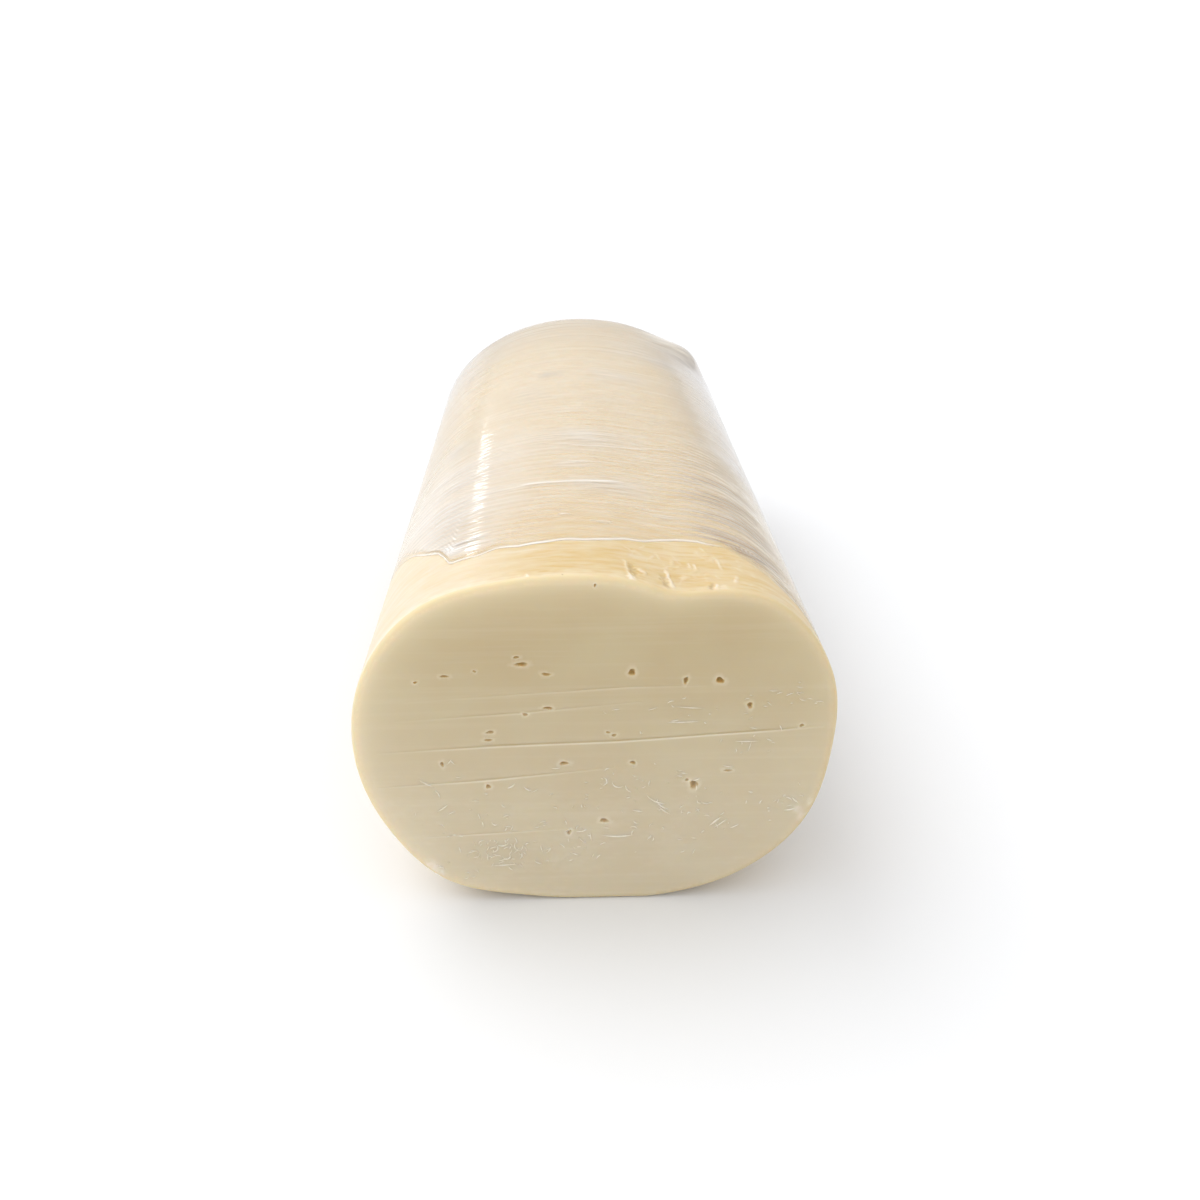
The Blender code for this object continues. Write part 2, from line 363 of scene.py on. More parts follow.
def make_provolone():
    """Knife-cut paste and smoked rind in one material."""
    material, tree = new_material("provolone paste and smoked rind")
    place = add(tree, "TexCoord", out="Object")
    kept = {name: add(tree, "Attribute", {"attribute_name": name}, out="Fac") for name in CHEESE_MARKS}
    blotch = streaks(tree, place, (BLOTCH,) * 3, 2.0)
    drag = streaks(tree, place, KNIFE_DRAG)
    fine = streaks(tree, place, STREAK_FINE, 2.0)
    broad = streaks(tree, place, STREAK_BROAD)

    # The rim's glow is painted light and the eyes' colour painted shade; the pale mark lays pale paste
    # and painted highlights, and its negative side painted shade
    paste = lay_colours(tree, PASTE, (
        (blotch, (0.35, 0.65, 0, 1), PASTE_WARM), (drag, (0.5, 0.85, 0, 0.13), PASTE_PALE),
        (kept["glow"], None, RIM_GLOW), (kept["eye"], None, EYE_SHADE)))
    rind = lay_colours(tree, RIND, (
        (fine, (0.40, 0.62, 0.18, 0.72), RIND_GOLD), (broad, (0.42, 0.75, 0, 0.45), RIND_PALE),
        (kept["smudge"], None, SMUDGE)))
    pale_streaking = add(tree, "MapRange", dict(zip(RANGE, PALE_STREAKING)), {"Value": fine})
    uneven = add(tree, "Mix", {"data_type": "FLOAT", 2: 1.0}, {"Factor": kept["rind"], 3: pale_streaking})
    paler = add(tree, "MapRange", dict(zip(RANGE, (0, PALEST, 0, 1))), {"Value": kept["pale"]})
    paler = add(tree, "Math", {"operation": "MULTIPLY"}, {0: paler, 1: uneven})
    colour = lay_colours(tree, paste, (
        (kept["rind"], None, rind), (paler, None, PASTE_PALE),
        (kept["pale"], (0, -1, 0, 1), PASTE_SHADE)))

    height = add(tree, "Mix", {"data_type": "FLOAT"}, {"Factor": kept["rind"], 2: drag, 3: fine})
    bump = add(tree, "Bump", {"Strength": 0.25, "Distance": 0.2 * MM}, {"Height": height})
    shader = add(tree, "BsdfPrincipled", {
        "Roughness": 0.40, "IOR": PASTE_IOR, "Subsurface Weight": 1.0,
        "Subsurface Radius": SCATTER_RGB, "Subsurface Scale": SCATTER_LENGTH,
    }, {"Base Color": colour, "Normal": bump})
    finish_material(tree, shader)
    return material


provolone = make_provolone()
print("material:", provolone.name, "with", len(provolone.node_tree.nodes), "nodes")

# %% [markdown]
# ## The knife-cut face
# The face was cut by hand in several strokes. Each stroke ended in a shallow ledge across the face,
# with a crisp lip that catches light and a dark corner above it; the lip also gets a painted highlight
# and the corner painted shade. Pressed curd holds small mechanical openings, the eyes, which the knife
# left as ragged pits with a lifted rim; the rims get a painted highlight and the pits painted shade.
# The face could be a grid, but a grid fine enough for a lip 0.2 mm wide would be huge. A Delaunay
# triangulation can take close points just where they are needed.

# %% Eyes: across, up, width, height and depth in mm, as in the solids
EYES = np.array((
    (-52.2, 83.3, 1.2, 0.9, 0.8), (-43.7, 85.2, 2.4, 1.0, 1.0), (-34.9, 86.8, 1.2, 0.7, 0.6),
    (-22.7, 91.3, 1.8, 0.8, 0.8), (-21.3, 88.9, 3.4, 1.6, 1.6), (-14.2, 85.4, 2.8, 1.1, 1.1),
    (10.7, 85.6, 2.4, 2.2, 2.0), (26.5, 82.5, 1.3, 2.8, 1.6), (36.5, 82.4, 2.4, 2.4, 2.4),
    (45.8, 73.5, 1.9, 2.0, 1.6), (61.8, 66.0, 1.4, 1.2, 0.9), (-13.9, 73.6, 2.6, 1.1, 1.2),
    (-20.7, 71.6, 1.9, 1.0, 0.9), (-31.3, 65.4, 2.6, 1.1, 1.2), (-32.0, 62.5, 2.2, 1.0, 1.1),
    (3.8, 64.7, 1.4, 0.8, 0.7), (5.6, 63.5, 1.6, 1.0, 0.9), (-9.5, 53.6, 2.6, 1.5, 1.5),
    (11.4, 53.5, 1.8, 1.4, 1.1), (30.2, 44.8, 3.0, 2.8, 2.4), (28.0, 46.7, 1.2, 1.0, 0.8),
    (40.4, 49.9, 2.4, 0.9, 0.9), (2.7, 31.5, 3.2, 1.5, 1.6), (-8.3, 27.1, 1.6, 2.0, 1.0),
    (-32.7, 45.5, 1.4, 1.9, 1.2), (-46.2, 54.0, 1.2, 1.8, 1.0), (0.0, 114.4, 0.8, 1.1, 0.8))) * MM

# Ledges: points across and up in mm, then depth in mm, as in the solids
LEDGES = (
    (((-56, 76.4), (9, 80.5), (34, 80.8)), 0.25),
    (((-59, 69.7), (-22, 72.0), (14, 75.4)), 0.30),
    (((-65, 58.4), (-29, 60.3), (7, 61.3), (49, 64.1), (69, 65.6)), 0.45),
    (((-66, 45.6), (-32, 47.8), (6, 51.8)), 0.45),
    (((-54, 26.1), (-36, 27.0), (-7, 28.6)), 0.30))
LEDGE_FADE = 10 * MM
LEDGE_END = 0.15
print(len(EYES), "eyes and", len(LEDGES), "ledges")


# %% Relief of the face: its swells are each a height, a seed and lengths
FACE_BACK = 0.3 * MM
FACE_SWELLS = ((0.06 * MM, 3, (90 * MM, 1, 14 * MM)), (0.02 * MM, 4, (50 * MM, 1, 2.5 * MM)))
LIP_WIDTH = 0.2 * MM
LEDGE_SHARE = 0.65
EYE_LIFT = 0.12 * MM
EYE_DEEPER = 0.65
EYE_FULL_DEPTH = 2.0 * MM
DEEPEST_LEDGE = 0.45 * MM
# Painted highlight on a ledge's lip, and painted shade in the corner above it
LIP_HIGHLIGHT = 0.60
CORNER_SHADE = 0.25
# Painted highlight on the lifted rims of the eyes
EYE_RIM_HIGHLIGHT = 0.3
# Painted light: the face is paler towards the bottom, as lit by the floor
LOW_FLOOR_LIGHT = 0.45
TORN_PALE = 0.04
SMEAR_PALE = 0.08
TORN_HEIGHT = 0.07 * MM


def ledge_at(ledge, across):
    """Height of a ledge's line and its depth at places across the face."""
    points, depth = ledge
    xs, zs = np.array(points).T * MM
    ends = np.ones(len(xs))
    ends[[0, -1]] = LEDGE_END
    inside = (across >= xs[0]) & (across <= xs[-1])
    return np.interp(across, xs, zs), np.interp(across, xs, ends) * depth * MM * inside


def raggedness(turn, index):
    """How far out an eye's edge is at a turn, against a plain oval."""
    return 1 + 0.16 * np.sin(2 * turn + 1.9 * index) + 0.12 * np.sin(3 * turn + 2.7 * index)


def eye_ring(eye, index, across, up):
    """How far out in an eye a place is: 1 at its ragged edge."""
    x, z, wide, tall, _ = eye
    right, above = (across - x) / (wide / 2), (up - z) / (tall / 2)
    return np.hypot(right, above) / raggedness(np.arctan2(above, right), index)


# Places where the edge of the cut is broken: across, up and width in mm, and how pale
RIM_FLAKES = (
    (-52.6, 13.8, 2.8, 1.6), (-49.8, 11.2, 1.9, 1.2), (67.9, 37.2, 1.9, 0.9), (65.0, 31.4, 1.7, 0.8),
    (62.8, 34.6, 1.4, 0.6), (61.4, 22.8, 1.9, 0.7), (57.4, 17.4, 1.6, 0.5))
FLAKE_DEPTH = 0.3 * MM


def face_relief(across, up):
    """Depth of the face behind the plane of the cut, with its marks: pale and eye."""
    flat = np.stack([across, np.zeros_like(across), up], axis=-1)
    depth = FACE_BACK + relief(FACE_SWELLS, flat)
    pale = np.zeros_like(across)
    eye_mark = np.zeros_like(across)
    for ledge in LEDGES:
        line, deep = ledge_at(ledge, across)
        above = up - line
        step = smooth(0, LIP_WIDTH, above) * np.clip(1 - above / LEDGE_FADE, 0, 1)
        depth += LEDGE_SHARE * deep * step
        strength = deep / DEEPEST_LEDGE
        # Painted highlight on each ledge's lip, just below its line, and painted shade in the corner just
        # above it
        pale += LIP_HIGHLIGHT * strength * np.exp(-((above + 0.25 * MM) / (0.25 * MM)) ** 2)
        pale -= CORNER_SHADE * strength ** 2 * np.exp(-((above - 0.28 * MM) / (0.20 * MM)) ** 2)
    for index, eye in enumerate(EYES):
        ring = eye_ring(eye, index, across, up)
        depth += EYE_DEEPER * eye[4] * (1 - smooth(0.35, 1.0, ring))
        depth -= EYE_LIFT * np.exp(-((ring - 1.3) / 0.25) ** 2)
        # Painted highlight on the lifted rim round each eye
        pale += EYE_RIM_HIGHLIGHT * np.exp(-((ring - 1.35) / 0.3) ** 2)
        # Painted shade inside each eye, stronger in the deeper ones
        strength = 0.35 + 0.65 * min(eye[4] / EYE_FULL_DEPTH, 1)
        eye_mark = np.maximum(eye_mark, strength * (1 - smooth(0.75, 1.1, ring)))
    for x, z, wide, strength in RIM_FLAKES:
        near = np.exp(-(((across - x * MM) ** 2 + (up - z * MM) ** 2) / (wide * MM) ** 2) ** 1.5)
        ragged = waves(8, (1.4 * MM, 1, 1.1 * MM), flat)
        depth += FLAKE_DEPTH * near * (0.5 + 0.5 * ragged)
        pale += strength * near * (0.85 + 0.35 * ragged)
    torn = smooth(0.2, 1.2, waves(5, (30 * MM, 1, 18 * MM), flat)) * (1 - smooth(40 * MM, 60 * MM, up))
    depth -= TORN_HEIGHT * torn * waves(6, (3 * MM, 1, 2 * MM), flat)
    smear = smooth(0.2, 1.3, waves(7, (10 * MM, 1, 3.5 * MM), flat)) * (1 - smooth(35 * MM, 62 * MM, up))
    # Painted light makes the face paler towards the bottom, as lit by the floor; the torn and smeared
    # paste is pale in fact
    pale += LOW_FLOOR_LIGHT * (1 - smooth(15 * MM, 112 * MM, up)) + TORN_PALE * torn + SMEAR_PALE * smear
    return depth, pale, eye_mark


# %% Points of the face: a loose grid, with close rows at the ledges and rings in the eyes
GRID_PITCH = 0.85 * MM
LEDGE_PITCH = 0.5 * MM
LEDGE_ROWS = np.array((-0.75, -0.38, -0.15, 0.0, 0.07, 0.14, 0.34, 0.7)) * MM
EYE_RINGS = (0.3, 0.55, 0.8, 1.0, 1.2, 1.5)
EYE_POINTS = 14
LEDGE_CLEAR = 0.3 * MM
EYE_CLEAR = 0.3
EYE_CLEAR_OF_LEDGE = 0.1
RIM_CLEAR = 0.45 * MM


def face_points(outline):
    """Points inside the outline of the face, across and up."""
    low, high = outline.min(axis=0), outline.max(axis=0)
    ups = np.arange(low[1], high[1], GRID_PITCH)
    grid = []
    for row, up in enumerate(ups):
        acrosses = np.arange(low[0] + (row % 2) * GRID_PITCH / 2, high[0], GRID_PITCH)
        grid.append(np.stack([acrosses, np.full_like(acrosses, up)], axis=-1))
    grid = np.concatenate(grid)
    keep = np.ones(len(grid), bool)
    rows = []
    for ledge in LEDGES:
        line, deep = ledge_at(ledge, grid[:, 0])
        keep &= (np.abs(grid[:, 1] - line) > LEDGE_ROWS[-1] + LEDGE_CLEAR) | (deep == 0)
        xs = np.arange(ledge[0][0][0] * MM, ledge[0][-1][0] * MM, LEDGE_PITCH)
        line, _ = ledge_at(ledge, xs)
        rows += [np.stack([xs, line + offset], axis=-1) for offset in LEDGE_ROWS]
    rows = np.concatenate(rows)
    clear = np.ones(len(rows), bool)
    rings = []
    for index, (x, z, wide, tall, _) in enumerate(EYES):
        keep &= eye_ring(EYES[index], index, *grid.T) > EYE_RINGS[-1] + EYE_CLEAR
        clear &= eye_ring(EYES[index], index, *rows.T) > EYE_RINGS[-1] + EYE_CLEAR_OF_LEDGE
        turns = np.arange(EYE_POINTS) * TAU / EYE_POINTS
        ragged = raggedness(turns, index)
        rings.append(np.array([[x, z]]))
        for size in EYE_RINGS:
            rings.append(np.stack([x + wide / 2 * size * ragged * np.cos(turns),
                                   z + tall / 2 * size * ragged * np.sin(turns)], axis=-1))
    found = np.concatenate([grid[keep], rows[clear]] + rings)
    turn = np.arctan2(found[:, 1] - CUT_CENTRE, found[:, 0])
    limit = np.interp(turn % TAU, *outline_by_angle(outline))
    return found[np.hypot(found[:, 0], found[:, 1] - CUT_CENTRE) < limit - RIM_CLEAR]


def outline_by_angle(outline):
    """The outline's angles in rising order and its radius at each."""
    turn = np.arctan2(outline[:, 1] - CUT_CENTRE, outline[:, 0]) % TAU
    order = np.argsort(turn)
    radius = np.hypot(outline[:, 0], outline[:, 1] - CUT_CENTRE)
    return (np.concatenate([turn[order] - TAU, turn[order], turn[order] + TAU]),
            np.tile(radius[order], 3))


# %% [markdown]
# ## The band of bare rind
# Between the cut and the film the rind is bare. Across its top right it is torn: the knife pulled
# flakes of it away, pale paste shows in the tears, and small crumbs stand up along the edge. Each tear
# is an oval bump or pit with its own place, turn and height, and darker pits and shaded sides get
# painted shade. The rest has low ridges that run round the log, and on the left the rind is painted
# paler, a painted sheen where the light falls.

# %% Tears in the band: where one starts and ends, in degrees and mm, then width, height and paleness
# A negative paleness darkens the paste: painted shade in a pit or on a flake's shaded side
TEARS = (
    ((81.6, 13.5), (81.0, 6.5), 1.2, 0.25, 0.6), ((80.2, 12.0), (79.0, 3.0), 2.2, -0.45, -0.3),
    ((81.0, 6.0), (80.2, 0.6), 1.3, 0.35, 0.8), ((79.6, 4.0), (79.9, 0.4), 1.6, 0.25, 0.7),
    ((77.8, 9.5), (76.2, 6.0), 1.4, 0.30, 0.7), ((70.2, 11.5), (68.5, 2.6), 0.9, 0.40, 0.9),
    ((71.6, 8.5), (69.8, 2.4), 1.3, -0.35, -0.3), ((57.0, 22.0), (56.2, 14.0), 0.6, 0.30, 0.8),
    ((58.2, 4.5), (58.5, 0.6), 0.7, 0.30, 0.7), ((59.3, 5.0), (59.6, 0.6), 0.9, -0.35, -0.4),
    ((56.8, 4.0), (56.9, 1.0), 1.6, 0.20, 0.5), ((54.2, 5.5), (53.5, 10.5), 0.9, 0.25, 0.8),
    ((63.8, 17.5), (63.6, 14.0), 0.8, 0.20, 0.6), ((62.5, 17.0), (62.2, 13.0), 0.8, 0.20, 0.6),
    ((59.8, 29.0), (59.2, 26.5), 0.9, 0.20, 0.5), ((66.5, 8.0), (64.0, 9.0), 1.6, 0.18, 0.4),
    ((107.3, 3.0), (106.9, 0.4), 0.8, 0.35, 0.9), ((108.6, 2.6), (108.4, 0.4), 1.6, -0.30, 0.1),
    ((98.3, 1.6), (98.2, 0.5), 0.5, -0.30, -0.8), ((103.0, 1.6), (100.0, 1.4), 0.6, 0.15, 0.5),
    ((218.5, 0.2), (218.5, 2.2), 7.0, -0.50, 0.7), ((337.0, 0.2), (337.0, 2.0), 6.0, -0.40, 0.6),
    ((345.0, 0.2), (345.0, 2.0), 5.0, -0.40, 0.6))
TORN_FROM = 48
TORN_TO = 82
SCRAPES = 60
SCRAPE_REACH = (4, 26)
SCRAPE_SIZES = ((0.5, 1.1), (-0.12, 0.15), (-0.1, 0.5))
BAND_RIDGES = (
    (0.04 * MM, 11, (30 * MM, 5 * MM, 30 * MM)), (0.02 * MM, 12, (25 * MM, 1.6 * MM, 25 * MM)))
# Painted sheen: how much paler the rind is on its lit left side
LEFT_SHEEN = 0.65


def add_tear(height, pale, angle, along, radius, ragged, tear):
    """Add one oval bump or pit with a ragged edge to the band's height and paleness."""
    (first_turn, first), (last_turn, last), wide, rise, whiter = tear
    middle_turn, middle = math.radians(first_turn + last_turn) / 2, (first + last) / 2 * MM
    step_round = math.radians(last_turn - first_turn) * float(radius.mean())
    step_back = (last - first) * MM
    half = math.hypot(step_round, step_back) / 2
    c, s = step_back / 2 / half, step_round / 2 / half
    across = angle_from(angle, middle_turn) * radius
    back = along - middle
    u = (back * c + across * s) / half
    v = (across * c - back * s) / (wide * MM / 2) + ragged
    height += rise * MM * np.exp(-(u ** 4 + np.abs(v) ** 3))
    pale += whiter * np.exp(-(u ** 4 + v ** 4))


def band_relief(angle, along, points):
    """Height of the bare rind over the skin, and its paleness, with a painted sheen on the lit left side.
    """
    radius = np.hypot(points[..., 0], points[..., 2] - CUT_CENTRE)
    height = relief(BAND_RIDGES, points)
    # Painted sheen where the light falls on the left side of the band
    pale = LEFT_SHEEN * smooth(math.radians(100), math.radians(128), angle % TAU)
    pale *= 1 - smooth(math.radians(190), math.radians(240), angle % TAU)
    random = np.random.default_rng(21)
    scrapes = []
    for _ in range(SCRAPES):
        turn, place = random.uniform(TORN_FROM, TORN_TO), random.uniform(*SCRAPE_REACH)
        ends = ((turn, place), (turn + random.normal(0, 1.2), place + random.uniform(1.5, 4.0)))
        wide, rise, whiter = (random.uniform(*ends_of) for ends_of in SCRAPE_SIZES)
        scrapes.append((*ends, wide, rise, whiter))
    ragged = 0.45 * waves(15, (3 * MM, 3 * MM, 3 * MM), points)
    for tear in TEARS + tuple(scrapes):
        add_tear(height, pale, angle, along, radius, ragged, tear)
    return height, pale


print(len(TEARS), "tears and", SCRAPES, "scrapes")

# %% [markdown]
# ## Putting the cheese together
# The cheese is one closed mesh. Rings of points run from the rim back along the band, closer together
# at the torn top right. Under the film the rings have a quarter of the points, since nothing fine
# shows there, and the surface sits a little lower to leave room for the film. The triangulated face
# closes the front.

# %% Angles of the rings
FINE_FROM = math.radians(38)
FINE_TO = math.radians(138)
FINE_COUNT = 280
PLAIN_COUNT = 320
COARSER = 4
fine_angles = np.linspace(FINE_FROM, FINE_TO, FINE_COUNT, endpoint=False)
plain_angles = np.linspace(FINE_TO, FINE_FROM + TAU, PLAIN_COUNT, endpoint=False)
ring_angles = np.concatenate([fine_angles, plain_angles])
print(len(ring_angles), "points in a fine ring")

# %% Rim, band and body
RIM_RADIUS = 1.2 * MM
RIM_STEPS = 5
BAND_ROWS = 72
BAND_CROWDING = 1.3
BAND_UNDER_FILM = 6 * MM
BODY_ROWS = 62
END_ROWS = 22
END_LAST = math.radians(86)
UNDER_FILM = 0.4 * MM
UNDER_FILM_END = 0.8 * MM
# The rim's painted glow of scattered light reaches this far in, and is strongest towards the lit side
GLOW_REACH = 9 * MM
GLOW_NEAR = 2.2 * MM
RIM_SHARE = 0.75
RIND_AT_RIM = 0.3
RIND_RAMP = 6 * MM
RIND_RAGGED = 1.5 * MM
EASE_FROM_RIM = 2.0 * MM
LIT_SIDE = math.radians(140)
GLOW_LEAST = 0.12
GLOW_BY_SIDE = 0.85
BODY_UNEVEN = ((0.06 * MM, 13, (60 * MM, 9 * MM, 60 * MM)),)


def rim_rows():
    """Rings over the rounded cut edge, from the face to the band."""
    rows = []
    for i in range(RIM_STEPS):
        lean = math.pi / 2 * i / RIM_STEPS
        depth = RIM_RADIUS * (1 - math.cos(lean))
        inset = RIM_RADIUS * (1 - math.sin(lean))
        row = skin(ring_angles, depth) - outward(ring_angles, depth) * inset
        row[:, 1] = FRONT + depth
        rows.append(row)
    return rows


def settle(points):
    """Keep points from going below the surface that the log rests on."""
    points[..., 2] = np.maximum(points[..., 2], 0)
    return points


def band_rows():
    """Rings of the bare band, which go on a little way under the film, with their paleness."""
    rows, pales = [], []
    edge = film_edge(ring_angles)
    for i in range(BAND_ROWS + 1):
        t = (i / BAND_ROWS) ** BAND_CROWDING
        along = RIM_RADIUS + (edge + BAND_UNDER_FILM - RIM_RADIUS) * t
        base = skin(ring_angles, along)
        height, pale = band_relief(ring_angles, along, base)
        easing = smooth(0, 1.5 * MM, along - RIM_RADIUS)
        drop = UNDER_FILM * smooth(-1 * MM, 3 * MM, along - edge)
        fade = 1 - smooth(-2 * MM, 2 * MM, along - edge)
        lift = height * (0.4 + 0.6 * easing) * fade - drop
        rows.append(settle(base + outward(ring_angles, along) * lift[:, None]))
        pales.append(pale * fade)
    return rows, pales


def body_rows():
    """Coarser rings under the film, round the back end."""
    angles = ring_angles[::COARSER]
    start = film_edge(angles) + BAND_UNDER_FILM
    rows = []
    for i in range(1, BODY_ROWS + 1):
        t = i / BODY_ROWS
        along = start + (BODY_LENGTH - start) * t
        base = skin(angles, along)
        lift = -UNDER_FILM - relief(BODY_UNEVEN, base)
        lift -= (UNDER_FILM_END - UNDER_FILM) * smooth(0.8, 1.0, t)
        rows.append(settle(base + outward(angles, along) * lift[:, None]))
    for i in range(1, END_ROWS + 1):
        dome = END_LAST * i / END_ROWS
        base = skin(angles, BODY_LENGTH, dome)
        rows.append(settle(base - outward(angles, BODY_LENGTH, dome) * UNDER_FILM_END))
    return rows


# %% Join a fine ring to a coarser one
def narrow_faces(fine, coarse):
    """Triangles from a fine ring to one with a quarter of its points, facing out."""
    faces = []
    half = COARSER // 2
    for i, here in enumerate(coarse):
        after = coarse[(i + 1) % len(coarse)]
        run = [fine[(COARSER * i + k) % len(fine)] for k in range(COARSER + 1)]
        faces += [(run[k], here, run[k + 1]) for k in range(half)]
        faces.append((run[half], here, after))
        faces += [(run[k], after, run[k + 1]) for k in range(half, COARSER)]
    return faces


# %% Triangulate the face inside its outline
def triangulate_face(outline):
    """Points inside the outline and the triangles that join all of them; the outline's come first."""
    inner = face_points(outline)
    everything = np.concatenate([outline, inner])
    ring = list(range(len(outline)))
    found = delaunay_2d_cdt([Vector(p) / MM for p in everything.tolist()], [], [ring], 1, 1e-6)
    triangles = [tuple(found[3][v][0] for v in face) for face in found[2]]
    turned = []
    for a, b, c in triangles:
        (ax, az), (bx, bz), (cx, cz) = everything[a], everything[b], everything[c]
        left = (bx - ax) * (cz - az) - (bz - az) * (cx - ax)
        turned.append((a, b, c) if left > 0 else (a, c, b))
    return inner, turned


# %% Smudges on the rind under the film: angle in degrees, distance, length, width in mm and strength
SMUDGES = (
    (104.5, 207, 9, 9, 0.55), (144, 252, 16, 7, 0.35), (136, 139, 14, 6, 0.3),
    (129.5, 127, 10, 5, 0.25), (84, 168, 10, 12, 0.15), (60, 150, 12, 14, 0.15), (95, 268, 12, 20, 0.2))


def smudge_at(points):
    """How smudged the rind is at its points."""
    angle = np.arctan2(points[:, 2] - BACK_CENTRE, points[:, 0])
    radius = np.hypot(points[:, 2] - BACK_CENTRE, points[:, 0])
    along = points[:, 1] - FRONT
    total = np.zeros(len(points))
    for degrees, place, long, wide, strength in SMUDGES:
        across = angle_from(angle, math.radians(degrees)) * radius
        total += strength * np.exp(-((along - place * MM) / (long * MM / 2)) ** 2
                                   - (across / (wide * MM / 2)) ** 2)
    return total * np.clip(0.8 + 0.5 * waves(14, (6 * MM, 4 * MM, 6 * MM), points), 0, 1)


# %% Build the cheese
def make_cheese():
    """The whole log of cheese as one closed mesh."""
    rim = rim_rows()
    band, band_pale = band_rows()
    body = body_rows()
    fine_rows = rim + band
    count = len(ring_angles)
    points = np.concatenate(fine_rows + body)
    indices = np.arange(len(fine_rows) * count).reshape(len(fine_rows), count)
    coarse = (len(fine_rows) * count + np.arange(len(body) * (count // COARSER))).reshape(len(body), -1)
    faces = tube_faces(indices) + narrow_faces(indices[-1].tolist(), coarse[0].tolist())
    faces += tube_faces(coarse) + tip_faces(coarse[-1], len(points))
    points = np.concatenate([points, [[0, LENGTH / 2 - UNDER_FILM_END, BACK_CENTRE]]])

    outline = rim[0][:, [0, 2]]
    inner, triangles = triangulate_face(outline)
    start = len(points)
    depth, pale, eye = face_relief(inner[:, 0], inner[:, 1])
    _, ring_pale, _ = face_relief(outline[:, 0], outline[:, 1])
    turn = np.arctan2(inner[:, 1] - CUT_CENTRE, inner[:, 0])
    from_rim = (np.interp(turn % TAU, *outline_by_angle(outline))
                - np.hypot(inner[:, 0], inner[:, 1] - CUT_CENTRE))
    depth *= smooth(0, EASE_FROM_RIM, from_rim)
    faces += [tuple(v if v < count else start + v - count for v in triangle) for triangle in triangles]
    points = np.concatenate([points, np.stack([inner[:, 0], FRONT + depth, inner[:, 1]], axis=-1)])

    rim_points = len(rim) * count
    rim_rind = np.repeat(smooth(0.5, RIM_STEPS + 0.5, np.arange(RIM_STEPS)), count)
    behind = points[rim_points:start]
    ragged = RIND_RAGGED * waves(16, (7 * MM, 3 * MM, 7 * MM), behind)
    browned = RIND_AT_RIM + (1 - RIND_AT_RIM) * smooth(0, RIND_RAMP, behind[:, 1] - FRONT + ragged)
    rind = np.concatenate([rim_rind * RIND_AT_RIM, browned, np.zeros(len(inner))])
    band_marks = np.concatenate(band_pale)
    pale_marks = np.concatenate([np.zeros(rim_points), band_marks,
                                 np.zeros(start - rim_points - len(band_marks)), pale])
    pale_marks[:count] = ring_pale * 0.5
    eye_marks = np.concatenate([np.zeros(start), eye])
    # Painted glow of light through the rim, stronger on the lit side
    glow = 0.5 * np.exp(-from_rim / GLOW_NEAR) + 0.5 * np.exp(-from_rim / GLOW_REACH)
    glow = np.concatenate([np.full(start, RIM_SHARE), glow])
    around = np.arctan2(points[:, 2] - CUT_CENTRE, points[:, 0])
    glow *= GLOW_LEAST + GLOW_BY_SIDE * (0.5 + 0.5 * np.cos(angle_from(around, LIT_SIDE)))
    marks = {"rind": rind, "pale": np.clip(pale_marks, -1, PALEST), "eye": eye_marks, "glow": glow,
             "smudge": smudge_at(points)}
    return make_piece("cheese_log", points, faces, provolone, "cheese", marks)


make_cheese()

# %% [markdown]
# ## Shavings on the face
# Dragging a knife through firm cheese rolls up fine curls of paste. They lie on the lower half of the
# face, pale because they are thin and dry. Each is a sliver with a three-sided section that tapers to
# both ends and bends to an arc. The larger ones are listed one by one and the dust of small ones is
# scattered from a seed.

